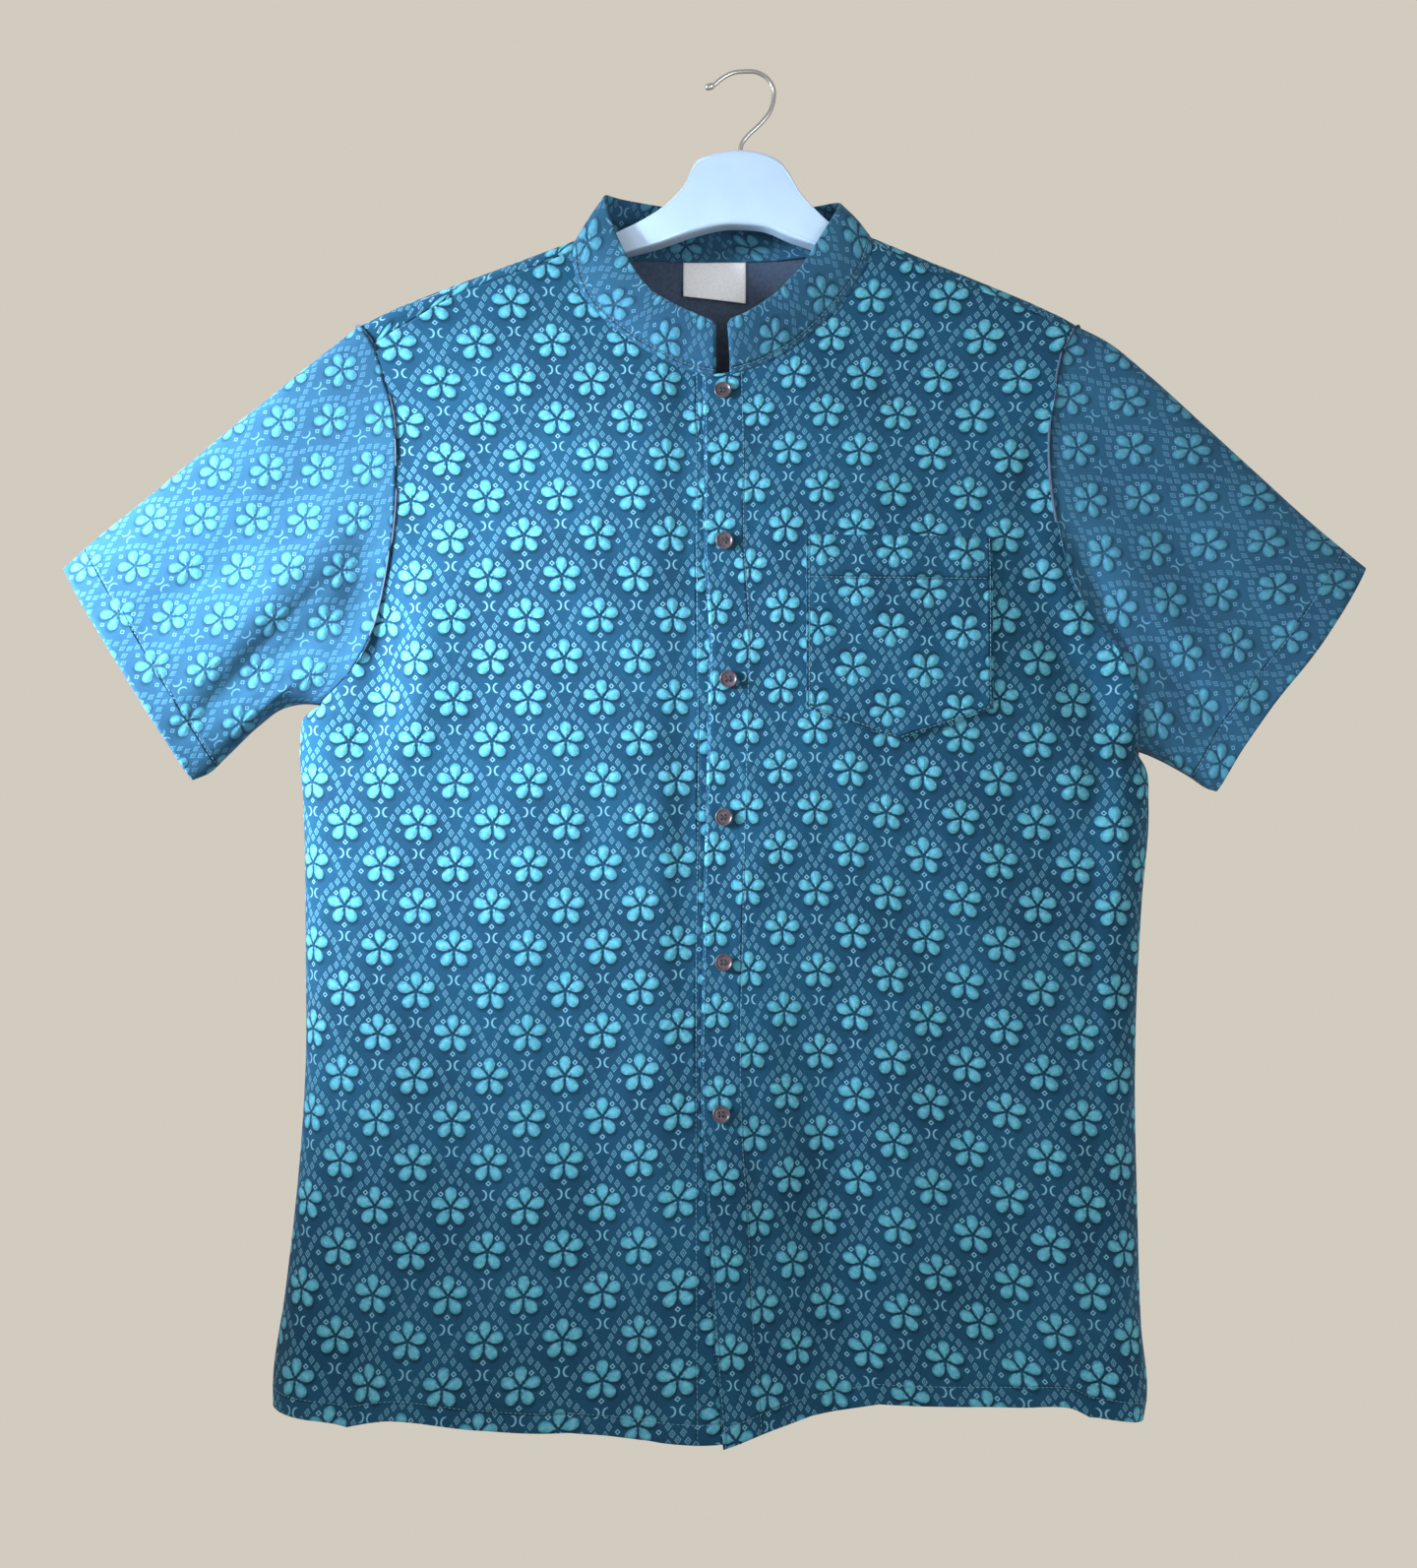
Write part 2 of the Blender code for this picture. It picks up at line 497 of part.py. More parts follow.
def sleeve_cloth(side_name):
    out = np.linspace(0, 1, SLEEVE_ROWS + 1)
    front, front_normals = sleeve_half(side_name, "front", out)
    back, back_normals = sleeve_half(side_name, "back", out)
    grid = np.concatenate([front, back[:, -2:0:-1]], axis=1)
    normals = grid_normals(grid, closed=True)
    if normals[SLEEVE_ROWS // 2, front.shape[1] // 2, 1] > 0:
        normals = -normals
    normals[0] = np.concatenate([front_normals, back_normals[-2:0:-1]])
    drawn_back(grid, "top", SEAM_GAP)
    return grid, normals


def neck_seam():
    # Read from the body's own upper edges, so the stand meets their facets.
    right = front_cloth("right")[0][0]
    left = front_cloth("left")[0][0]
    nape = back_cloth()[0][0]
    neck_side = [SIDES[name]["shoulder"][0][0] for name in ("right", "left")]
    right = right[(right[:, 0] <= STAND_TOP["x"][0] + FRONT_EDGE) & (right[:, 0] > neck_side[0] + NECK_END)
                  & (right[:, 2] < SIDES["right"]["shoulder"][0][1])]
    left = left[(left[:, 0] >= STAND_TOP["x"][-1] - FRONT_EDGE) & (left[:, 0] < neck_side[1] - NECK_END)][::-1]
    nape = nape[(nape[:, 0] > neck_side[0] - NECK_END) & (nape[:, 0] < neck_side[1] + NECK_END)]
    return np.vstack([right, nape, left])


def stand_cloth():
    seam = neck_seam()
    foot = np.repeat(seam, 2, axis=0)[:-1]
    foot[1::2] = (seam[:-1] + seam[1:]) / 2
    shares = np.concatenate([[0.0], np.cumsum(np.linalg.norm(np.diff(foot, axis=0), axis=1))])
    shares /= shares[-1]
    top_points = np.stack([STAND_TOP[axis] for axis in ("x", "y", "z")], axis=1)
    top = np.stack([np.interp(shares, STAND_TOP["share"], top_points[:, axis]) for axis in range(3)], axis=1)
    top[1:-1] = (top[:-2] + 2 * top[1:-1] + top[2:]) / 4
    rise = top - foot
    foot = foot + unit(rise) * SEAM_GAP
    up = np.linspace(0, 1, STAND_ROWS + 1)[:, None, None]
    grid = foot[None] * (1 - up) + top[None] * up
    normals = grid_normals(grid)
    if normals[0, len(shares) // 2, 1] < 0:
        normals = -normals
    # No part of the wall's lower rim dips below the seam.
    normals[0, :, 2] = np.minimum(normals[0, :, 2], 0)
    return grid, normals


def on_left_front(x, z, moved_out):
    places = with_run(np.stack([np.ravel(x), np.ravel(z)], axis=1))
    grid = cloth_places(places, "front", 1.0, moved_out)
    grid[:, 1] -= kick_depth(grid[:, 0], grid[:, 2])
    return grid.reshape(np.shape(x) + (3,))


# Meshes

def unit(vectors):
    return vectors / np.linalg.norm(vectors, axis=-1, keepdims=True)


def grid_normals(grid, closed=False):
    if closed:
        around = np.roll(grid, -1, axis=1) - np.roll(grid, 1, axis=1)
    else:
        around = np.gradient(grid, axis=1)
    return unit(np.cross(around, np.gradient(grid, axis=0)))


# Both pieces at a seam share the direction of their walls there, so the
# walls end face to face.
def crest_normals(places, face):
    turn = np.clip(places[:, 1] / CREST_RADIUS, -math.pi / 2, math.pi / 2)
    right_of = crest_height(places[:, 0] + SLOPE_REACH)
    slope = (right_of - crest_height(places[:, 0] - SLOPE_REACH)) / (2 * SLOPE_REACH)
    way = -1.0 if face == "front" else 1.0
    return unit(np.stack([-slope * np.cos(turn), way * np.sin(turn), np.cos(turn)], axis=1))


def armhole_normals(side_name, places, face, open_share):
    way = -1.0 if side_name == "right" else 1.0
    pit = unit(np.array([way * UNDERARM_WAY[0], 0.0, UNDERARM_WAY[1]]))
    share = open_share[:, None]
    return unit(crest_normals(places, face) * share + pit * np.sqrt(1 - share**2))


def drawn_back(grid, edge, gap):
    # Draws one edge back along the cloth, for the gap at its seam.
    here, inner = (0, 1) if edge in ("top", "start") else (-1, -2)
    lines = grid if edge in ("top", "foot") else np.swapaxes(grid, 0, 1)
    lines[here] += unit(lines[inner] - lines[here]) * gap


def add_solid(name, places, faces, material):
    mesh = bpy.data.meshes.new(name)
    builder = bmesh.new()
    verts = [builder.verts.new(place * MM) for place in places]
    for face in faces:
        builder.faces.new([verts[index] for index in face])
    bmesh.ops.recalc_face_normals(builder, faces=builder.faces)
    builder.to_mesh(mesh)
    builder.free()
    mesh.shade_smooth()
    mesh.materials.append(material)
    solid = bpy.data.objects.new(name, mesh)
    parts.objects.link(solid)
    return solid


def strips(first, second, closed):
    # Faces between two lines of numbered points.
    last = len(first) if closed else len(first) - 1
    return [(first[i], first[(i + 1) % len(first)], second[(i + 1) % len(first)], second[i]) for i in range(last)]


def add_cloth(name, grid, normals, material, wall=CLOTH, closed=False):
    rows, columns = grid.shape[:2]
    inner = grid - unit(normals) * wall
    outer_ids = np.arange(rows * columns).reshape(rows, columns)
    inner_ids = outer_ids + rows * columns
    faces = []
    for ids in (outer_ids, inner_ids):
        for row in range(rows - 1):
            faces += strips(ids[row], ids[row + 1], closed)
    for row in (0, -1):
        faces += strips(outer_ids[row], inner_ids[row], closed)
    if not closed:
        for column in (0, -1):
            faces += strips(outer_ids[:, column], inner_ids[:, column], False)
    places = np.concatenate([grid.reshape(-1, 3), inner.reshape(-1, 3)])
    return add_solid(name, places, faces, material)


def add_loft(name, rings, material):
    count, sides = rings.shape[:2]
    ids = np.arange(count * sides).reshape(count, sides)
    faces = [list(ids[0]), list(ids[-1])]
    for row in range(count - 1):
        faces += strips(ids[row], ids[row + 1], True)
    return add_solid(name, rings.reshape(-1, 3), faces, material)


# Pieces

def add_body(cloth):
    for side_name in ("right", "left"):
        grid, normals = front_cloth(side_name)
        add_cloth("front_" + side_name, grid, normals, cloth)
    grid, normals = back_cloth()
    add_cloth("back", grid, normals, cloth)


def add_sleeves(cloth):
    for side_name in ("right", "left"):
        grid, normals = sleeve_cloth(side_name)
        add_cloth("sleeve_" + side_name, grid, normals, cloth, closed=True)


def add_collar(cloth):
    grid, normals = stand_cloth()
    add_cloth("collar", grid, normals, cloth, wall=COLLAR_WALL)


def add_pocket(cloth):
    outline = POCKET_OUTLINE
    x = np.linspace(outline["left"], outline["right"], POCKET_COLUMNS + 1)
    down = np.linspace(0, 1, POCKET_ROWS + 1)
    beside = np.abs(x - outline["point_x"]) / (outline["right"] - outline["point_x"])
    foot = outline["side_foot"] + (outline["point_z"] - outline["side_foot"]) * (1 - np.clip(beside, 0, 1))
    z = outline["top"] + (foot[None] - outline["top"]) * down[:, None]
    grid = on_left_front(np.broadcast_to(x, z.shape), z, ON_PANEL_GAP + POCKET_WALL)
    add_cloth("pocket", grid, outward(grid_normals(grid), "front"), cloth, wall=POCKET_WALL)


def add_buttons(material):
    dish = BUTTON_RADIUS - BUTTON_RIM
    floor = BUTTON_HEIGHT - BUTTON_DISH
    radii = [0.0, dish - BUTTON_EDGE, dish, BUTTON_RADIUS - BUTTON_EDGE, BUTTON_RADIUS,
             BUTTON_RADIUS - BUTTON_UNDERCUT, 0.0]
    heights = [floor, floor, BUTTON_HEIGHT, BUTTON_HEIGHT, BUTTON_HEIGHT * BUTTON_WAIST, 0.0, 0.0]
    for number, (x, z) in enumerate(zip(BUTTONS["x"], BUTTONS["z"]), start=1):
        name = "button_%d" % number
        mesh = bpy.data.meshes.new(name)
        profile = [(radius * MM, 0.0, height * MM) for radius, height in zip(radii, heights)]
        edges = [(index, index + 1) for index in range(len(profile) - 1)]
        mesh.from_pydata(profile, edges, [])
        mesh.materials.append(material)
        button = bpy.data.objects.new(name, mesh)
        parts.objects.link(button)
        turn = button.modifiers.new("turned", "SCREW")
        turn.axis = "Z"
        turn.steps = BUTTON_SIDES
        turn.render_steps = BUTTON_SIDES
        turn.use_merge_vertices = True
        turn.merge_threshold = 0.00002
        turn.use_smooth_shade = True
        turn.use_normal_calculate = True
        heights_beside = np.array([z + BUTTON_REACH, z - BUTTON_REACH])
        above, below = on_left_front(np.array([x, x]), heights_beside, BUTTON_GAP)
        lean = math.atan2(above[1] - below[1], 2 * BUTTON_REACH)
        middle = (above + below) / 2
        button.location = middle * MM
        button.rotation_euler = (math.pi / 2 - lean, 0.0, 0.0)


def add_label(material):
    x = np.linspace(LABEL["x"] - LABEL["width"] / 2, LABEL["x"] + LABEL["width"] / 2, LABEL_COLUMNS + 1)
    z = np.linspace(LABEL["top"], LABEL["top"] - LABEL["height"], LABEL_ROWS + 1)
    places = with_run(np.stack([np.tile(x, len(z)), np.repeat(z, len(x))], axis=1))
    inward = -(CLOTH + LABEL["gap"])
    grid = cloth_places(places, "back", 1.0, inward).reshape(len(z), len(x), 3)
    add_cloth("label", grid, outward(grid_normals(grid), "back"), material, wall=LABEL["wall"])


def hanger_edges(x):
    half = np.interp(abs(x - HUB_MIDDLE), HALF_THICKNESS["off"], HALF_THICKNESS["half"])
    if HUB_TOP["x"][0] <= x <= HUB_TOP["x"][-1]:
        return np.interp(x, HUB_TOP["x"], HUB_TOP["z"]), np.interp(x, HUB_FOOT["x"], HUB_FOOT["z"]), half
    top = crest_height(x) - ARM_SEAT
    height = np.interp(abs(x - HUB_MIDDLE), ARM_HEIGHT["off"], ARM_HEIGHT["height"])
    return top, top - height, half


def add_hanger(material):
    right_x = np.linspace(ARM_END["right"], HUB_TOP["x"][0] - ARM_START, ARM_STATIONS)
    left_x = np.linspace(HUB_TOP["x"][-1] + ARM_START, ARM_END["left"], ARM_STATIONS)
    stations = np.concatenate([right_x, np.sort(HUB_TOP["x"] + [HUB_MIDDLE]), left_x])
    angles = np.linspace(0, 2 * math.pi, HANGER_SIDES + 1)[:-1]
    rings = []
    for x in stations:
        top, foot, half = hanger_edges(x)
        high = top - half
        low = foot + half * FOOT_ROUND
        upper = np.sin(angles) >= 0
        y = half * np.cos(angles)
        z = np.where(upper, high + half * np.sin(angles), low + half * FOOT_ROUND * np.sin(angles))
        rings.append(np.stack([np.full_like(y, x), y, z], axis=1))
    rings = np.array(rings)
    ends = []
    for ring, way in ((rings[0], -1.0), (rings[-1], 1.0)):
        middle = ring.mean(axis=0)
        for share, out in ARM_CAPS:
            cap = middle + (ring - middle) * np.array([1.0, share, share])
            cap[:, 0] += way * out
            ends.append(cap)
    rings = np.concatenate([[ends[1], ends[0]], rings, [ends[2], ends[3]]])
    add_loft("hanger", rings, material)


def add_hook(material):
    path = spline_through(np.stack([HOOK_PATH["x"], HOOK_PATH["z"]], axis=1), np.linspace(0, 1, HOOK_STEPS))
    curve = bpy.data.curves.new("hook", "CURVE")
    curve.dimensions = "3D"
    curve.bevel_depth = WIRE * MM
    curve.bevel_resolution = 2
    curve.use_fill_caps = True
    line = curve.splines.new("POLY")
    line.points.add(HOOK_STEPS - 1)
    for index, (point, (x, z)) in enumerate(zip(line.points, path)):
        point.co = (x * MM, 0.0, z * MM, 1.0)
        point.radius = TIP / WIRE if 0 < index < TIP_STEPS else 1.0
    hook = bpy.data.objects.new("hook", curve)
    curve.materials.append(material)
    parts.objects.link(hook)


def add_ferrule(material):
    bore = WIRE + SEAM_GAP
    foot = max(HUB_TOP["z"]) + SEAM_GAP
    mesh = bpy.data.meshes.new("ferrule")
    outline = [(bore, FERRULE_HEIGHT), (FERRULE_RADIUS * FERRULE_TAPER[0], FERRULE_HEIGHT),
               (FERRULE_RADIUS, FERRULE_HEIGHT * FERRULE_TAPER[1]), (FERRULE_RADIUS, 0.0), (bore, 0.0)]
    verts = [(radius * MM, 0.0, height * MM) for radius, height in outline]
    edges = [(index, (index + 1) % len(verts)) for index in range(len(verts))]
    mesh.from_pydata(verts, edges, [])
    mesh.materials.append(material)
    ferrule = bpy.data.objects.new("ferrule", mesh)
    ferrule.location = (HOOK_PATH["x"][-1] * MM, 0.0, foot * MM)
    parts.objects.link(ferrule)
    turn = ferrule.modifiers.new("turned", "SCREW")
    turn.axis = "Z"
    turn.steps = TURNED_SIDES
    turn.render_steps = TURNED_SIDES
    turn.use_merge_vertices = True
    turn.merge_threshold = 0.00002
    turn.use_normal_calculate = True


for old in list(bpy.data.objects):
    bpy.data.objects.remove(old, do_unlink=True)

parts = bpy.data.collections.new("mandarin_collar_shirt")
bpy.context.scene.collection.children.link(parts)

body_print = make_material("body_cloth", COLORS["body_cloth"], 0.85)
sleeve_print = make_material("sleeve_cloth", COLORS["sleeve_cloth"], 0.85)
stand_print = make_material("collar_cloth", COLORS["collar_cloth"], 0.85)
button_plastic = make_material("button_plastic", COLORS["button"], 0.35)
label_cloth = make_material("label_cloth", COLORS["label"], 0.7)
hanger_plastic = make_material("hanger_plastic", COLORS["hanger"], 0.35)
hook_steel = make_material("hook_steel", COLORS["steel"], 0.25, metallic=1.0)

add_body(body_print)
add_sleeves(sleeve_print)
add_collar(stand_print)
add_pocket(body_print)
add_buttons(button_plastic)
add_label(label_cloth)
add_hanger(hanger_plastic)
add_hook(hook_steel)
add_ferrule(hook_steel)
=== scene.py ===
import math
import bpy
import numpy as np
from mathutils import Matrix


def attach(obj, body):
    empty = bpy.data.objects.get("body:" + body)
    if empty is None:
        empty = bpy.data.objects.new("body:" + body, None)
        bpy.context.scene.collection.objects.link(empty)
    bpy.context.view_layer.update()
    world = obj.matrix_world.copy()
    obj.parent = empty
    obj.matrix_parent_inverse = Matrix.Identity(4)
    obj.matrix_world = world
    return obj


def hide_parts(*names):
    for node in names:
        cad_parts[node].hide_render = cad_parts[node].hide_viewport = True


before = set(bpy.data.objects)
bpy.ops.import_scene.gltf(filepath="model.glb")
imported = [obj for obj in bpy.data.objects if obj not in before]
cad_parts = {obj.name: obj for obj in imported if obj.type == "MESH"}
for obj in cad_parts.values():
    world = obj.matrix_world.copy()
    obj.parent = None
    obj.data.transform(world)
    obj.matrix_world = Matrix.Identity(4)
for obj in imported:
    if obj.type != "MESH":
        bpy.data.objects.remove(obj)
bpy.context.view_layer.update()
print("stage: frame loaded")

# Printed cotton shirt with a mandarin collar on a moulded hanger.
# Sizes are millimetres in the shirt's own frame: +X to the viewer's right,
# the front faces -Y, +Z up, the origin at the crest of the hook.
mm = 0.001


# small helpers

def linearColor(red, green, blue):
    # colour as seen on a screen, 0 to 255, to the light value that shaders take
    values = np.array([red, green, blue]) / 255.0
    return tuple(np.where(values <= 0.04045, values / 12.92, ((values + 0.055) / 1.055) ** 2.4)) + (1.0,)


def unit(vectors):
    # each vector over its own length
    return vectors / np.maximum(np.linalg.norm(vectors, axis=-1, keepdims=True), 1e-9)


def smoothStep(value, low, high):
    # 0 below low, 1 above high, and 3 t^2 - 2 t^3 between them
    t = np.clip((np.asarray(value, float) - low) / (high - low), 0.0, 1.0)
    return t * t * (3 - 2 * t)


def quarterRound(distance, size):
    # height of a quarter circle over a distance from its foot
    return np.sqrt(1 - (1 - np.clip(distance / size, 0.0, 1.0)) ** 2)


def splineThrough(points, shares):
    # cubic through the points, read at shares of its chord length
    points = np.asarray(points, float)
    knots = np.concatenate([[0.0], np.cumsum(np.linalg.norm(np.diff(points, axis=0), axis=1))])
    steps = np.diff(knots)[:, None]
    chords = np.diff(points, axis=0) / steps
    inner = (chords[:-1] * steps[1:] + chords[1:] * steps[:-1]) / (steps[:-1] + steps[1:])
    slopes = np.vstack([chords[:1], inner, chords[-1:]])
    places = np.clip(np.asarray(shares, float), 0.0, 1.0) * knots[-1]
    cell = np.clip(np.searchsorted(knots, places, side="right") - 1, 0, len(steps) - 1)
    width = steps[cell]
    t = (places[:, None] - knots[cell][:, None]) / width
    rise = 3 * t**2 - 2 * t**3
    return (points[cell] * (1 - rise) + points[cell + 1] * rise
            + width * slopes[cell] * (t**3 - 2 * t**2 + t) + width * slopes[cell + 1] * (t**3 - t**2))


def joinedCurve(first, second, breakAt, shares):
    # one spline up to a share and another from there on, with a corner where they meet
    shares = np.asarray(shares, float)
    onFirst = splineThrough(first, shares / breakAt)
    onSecond = splineThrough(second, (shares - breakAt) / (1.0 - breakAt))
    return np.where(shares[:, None] <= breakAt, onFirst, onSecond)


def filledPatch(top, foot, start, end, across, down):
    # surface between four border lines: the two straight blends less the blend of the corners
    u = across[None, :, None]
    v = down[:, None, None]
    corners = ((1 - u) * (1 - v) * top[0] + u * (1 - v) * top[-1] + (1 - u) * v * foot[0] + u * v * foot[-1])
    return (1 - u) * start[:, None] + u * end[:, None] + (1 - v) * top[None] + v * foot[None] - corners


def easeOut(count):
    # steps from 0 to 1 that get finer towards 1
    return np.sin(np.linspace(0, math.pi / 2, count + 1))


def easeBoth(count):
    # steps from 0 to 1 that are finer at both ends
    return (1 - np.cos(np.linspace(0, math.pi, count + 1))) / 2


# the shirt's outline and stand-off, the same values as its solids

shoulders = dict(
    crestRadius=11.0,
    crestX=[-256.8, -230.0, -207.4, -111.8, -60.0, -14.0, 40.0, 83.2, 125.5, 154.7, 187.8, 208.7, 221.0],
    crestZ=[-168.4, -155.4, -146.3, -110.5, -100.0, -97.0, -100.0, -108.6, -126.1, -137.8, -151.5,
            -161.2, -168.4],
)
quarterTurn = shoulders["crestRadius"] * math.pi / 2

drape = dict(
    run=[0, 17, 60, 104, 200, 300, 450, 600, 770],
    front=[0, 0, 4, 11, 34, 38, 42, 46, 52],
    back=[0, 0, 3, 6, 9, 12, 14, 16, 18],
    middleX=-20.0, halfChest=245.0, sideFlatness=0.62, sideTurn=32.0, underarmTurn=48.0,
)

sides = {
    "right": dict(
        shoulder=[(-111.0, -119.6), (-150.0, -134.2), (-189.5, -148.9), (-218.5, -165.5), (-243.0, -181.0)],
        armhole=[(-243.0, -181.0), (-237.0, -200.0), (-228.5, -235.0), (-227.0, -270.0), (-228.5, -306.0),
                 (-234.5, -340.0), (-245.0, -374.0), (-261.0, -400.0), (-280.0, -417.0)],
        armholeBack=[(-250.0, -192.0), (-242.0, -230.0), (-240.0, -280.0), (-244.0, -330.0),
                     (-256.0, -380.0), (-280.0, -417.0)],
        side=[(-280.0, -417.0), (-290.5, -424.0), (-293.0, -440.0), (-291.0, -484.0), (-289.5, -586.0),
              (-289.5, -650.0), (-294.0, -722.0), (-303.0, -803.0), (-311.0, -862.0), (-311.0, -876.0)],
        neck=[(-5.0, -203.0), (-19.0, -202.4), (-30.4, -200.3), (-56.2, -189.7), (-79.6, -174.0),
              (-92.5, -163.0), (-103.5, -149.5), (-109.5, -134.0), (-111.0, -119.6)],
        frontEdge=[(-5.0, -203.0), (-5.0, -300.0), (-4.0, -450.0), (-5.0, -600.0), (-5.0, -740.0),
                   (-4.0, -874.0)],
        hem=[(-4.0, -874.0), (-38.0, -875.0), (-95.0, -877.0), (-170.0, -878.0), (-235.0, -877.0),
             (-280.0, -879.0), (-311.0, -876.0)],
        sleeveTop=[(-256.8, -168.4), (-290.0, -194.4), (-321.0, -219.4), (-350.0, -242.7), (-377.0, -265.5),
                   (-406.0, -289.0), (-435.0, -312.7), (-449.8, -326.3)],
        sleeveUnder=[(-280.0, -417.0), (-292.0, -416.5), (-305.0, -419.5), (-321.0, -431.0), (-342.0, -451.0),
                     (-354.0, -462.0), (-364.7, -466.5)],
        cuff=[(-449.8, -326.3), (-426.4, -362.1), (-403.7, -397.8), (-382.9, -433.0), (-364.7, -466.5)],
    ),
    "left": dict(
        shoulder=[(82.4, -112.5), (106.0, -126.0), (129.5, -137.0), (165.6, -150.5), (192.0, -161.0),
                  (215.0, -171.5)],
        armhole=[(215.0, -171.5), (209.0, -183.0), (202.5, -212.0), (198.5, -250.0), (202.0, -298.0),
                 (210.0, -334.0), (226.0, -362.5), (244.0, -387.0), (253.0, -410.0), (257.0, -447.0)],
        armholeBack=[(216.0, -190.0), (209.0, -230.0), (207.0, -285.0), (212.0, -335.0),
                     (228.0, -390.0), (257.0, -447.0)],
        side=[(257.0, -447.0), (264.0, -458.0), (266.0, -482.0), (261.5, -547.0), (258.5, -600.0),
              (257.0, -665.0), (258.5, -747.0), (261.0, -825.0), (264.5, -874.0), (262.5, -886.0)],
        neck=[(-28.0, -205.0), (-20.0, -203.6), (-11.4, -202.4), (-5.0, -200.6), (11.9, -194.6),
              (32.1, -182.4), (52.9, -163.0), (67.5, -145.0), (76.5, -130.0), (82.4, -112.5)],
        frontEdge=[(-28.0, -205.0), (-27.0, -255.0), (-26.5, -330.0), (-24.0, -365.0), (-24.8, -440.0),
                   (-27.5, -558.0), (-27.5, -700.0), (-23.5, -749.0), (-20.0, -815.0), (-15.0, -876.0)],
        hem=[(-15.0, -876.0), (8.0, -869.5), (41.0, -863.5), (101.0, -860.5), (176.0, -866.5),
             (215.0, -872.5), (237.5, -879.0), (262.5, -886.0)],
        sleeveTop=[(221.0, -168.4), (239.2, -177.5), (266.5, -199.0), (299.6, -228.8), (337.0, -263.0),
                   (375.7, -298.0), (400.4, -318.5), (410.1, -326.3)],
        sleeveUnder=[(257.0, -447.0), (265.2, -449.8), (282.8, -458.3), (294.4, -465.0), (305.0, -472.0),
                     (311.4, -474.0)],
        cuff=[(410.1, -326.3), (393.0, -352.0), (369.2, -385.5), (343.0, -418.0), (324.0, -448.0),
              (311.4, -474.0)],
    ),
}
seams = dict(neckShare=0.38, armholeShare=0.37, crestShare=0.028, backNeckFrom=0.335, backNeckTo=0.665, gap=0.3)
nape = dict(
    x=[-111.0, -110.0, -105.0, -93.0, -68.0, -40.0, -14.0, 14.0, 40.0, 63.0, 75.0, 80.5, 82.4],
    run=[-15.3, -4.0, 7.0, 15.0, 21.0, 24.5, 26.0, 24.5, 21.0, 15.0, 7.0, -2.0, -9.8],
    bulgeX=-14.0, bulgeRun=30.0, bulgeWidth=85.0, bulgeHeight=60.0, bulgeDepth=9.0,
)
overlap = dict(depth=2.6, start=-58.0, end=-36.0)
kick = dict(x=-20.0, reach=78.0, top=-560.0, foot=-876.0, depth=27.0)

# creases: two ends (x, z), half width, depth outwards; long soft ones first, then short sharp ones
creases = {
    "front": [
        (-200, -300, -262, -425, 20, -6.0), (-185, -360, -255, -500, 26, 4.0), (190, -330, 232, -450, 20, -5.0),
        (205, -420, 238, -560, 24, 3.5), (-250, -500, -235, -800, 34, 3.0), (40, -560, 55, -850, 30, -6.0),
        (205, -650, 215, -860, 26, 3.5),
        (-236, -310, -238, -455, 16, -9.0), (-210, -300, -205, -430, 16, 2.5),
        (-262, -425, -225, -470, 9, -3.5), (-222, -250, -205, -330, 9, -1.6),
        (-216, -395, -262, -470, 10, -2.4), (-150, -180, -205, -215, 12, -1.6),
        (-90, -205, -150, -250, 14, -1.4), (60, -190, 120, -225, 13, -1.5), (196, -215, 180, -300, 9, -1.8),
        (215, -395, 245, -440, 8, -2.4), (238, -455, 205, -520, 11, -2.2), (250, -470, 240, -570, 9, 1.8),
        (190, -300, 225, -400, 10, 3.0), (-120, -560, -135, -740, 26, -2.6), (-60, -620, -70, -850, 22, 2.6),
        (130, -560, 150, -760, 26, -2.6), (-180, -640, -170, -860, 24, -3.0), (95, -700, 100, -858, 18, 2.6),
        (165, -780, 172, -862, 14, -2.4), (-255, -820, -262, -876, 12, -2.2), (-20, -330, 30, -420, 16, -1.2),
        (30, -470, -10, -560, 16, 1.4), (5, -640, 12, -868, 12, -3.4), (-30, -760, -60, -870, 14, 2.0),
    ],
    "back": [
        (-195, -320, -250, -440, 24, -5.0), (150, -330, 215, -450, 24, -5.0), (-120, -470, -140, -860, 34, 4.0),
        (60, -520, 70, -850, 34, 4.0), (-235, -600, -245, -860, 26, 3.0),
        (-40, -200, -90, -330, 20, -2.2), (30, -210, 85, -320, 22, -2.4), (-190, -210, -215, -300, 10, -1.8),
        (180, -230, 195, -320, 11, -1.8), (-30, -540, -40, -820, 24, -2.8), (150, -600, 160, -850, 22, -2.8),
        (-190, -520, -200, -700, 20, -2.6), (215, -560, 225, -800, 18, 2.0), (0, -700, 5, -868, 16, 2.0),
        (-215, -390, -262, -460, 10, -2.8), (200, -400, 240, -470, 10, -2.8), (-90, -700, -100, -868, 16, -2.2),
    ],
}
creaseReach = 0.62  # how far a crease runs from its middle, as a share of its length
creaseFade = (20, 80)  # lengths of cloth from the crest over which creases begin
waves = [  # soft unevenness, a broad one and a fine one
    dict(height=1.2, size=95, stretch=1.0, seed={"front": 3, "back": 8}, fade=(30, 200)),
    dict(height=0.5, size=38, stretch=1.4, seed={"front": 5, "back": 9}, fade=(30, 160)),
]


def crestHeight(x):
    # height of the shoulders' crest over a place across
    return np.interp(x, shoulders["crestX"], shoulders["crestZ"])


def withRun(points):
    # (x, z) to (x, length of cloth from the crest)
    points = np.asarray(points, float)
    radius = shoulders["crestRadius"]
    fall = crestHeight(points[:, 0]) - points[:, 1]
    turned = radius * np.arccos(np.clip(1 - fall / radius, -1, 1))
    return np.stack([points[:, 0], np.where(fall < radius, turned, fall - radius + quarterTurn)], axis=1)


def mirroredRun(places):
    # the same places on the other side of the crest
    return np.asarray(places) * np.array([1.0, -1.0])


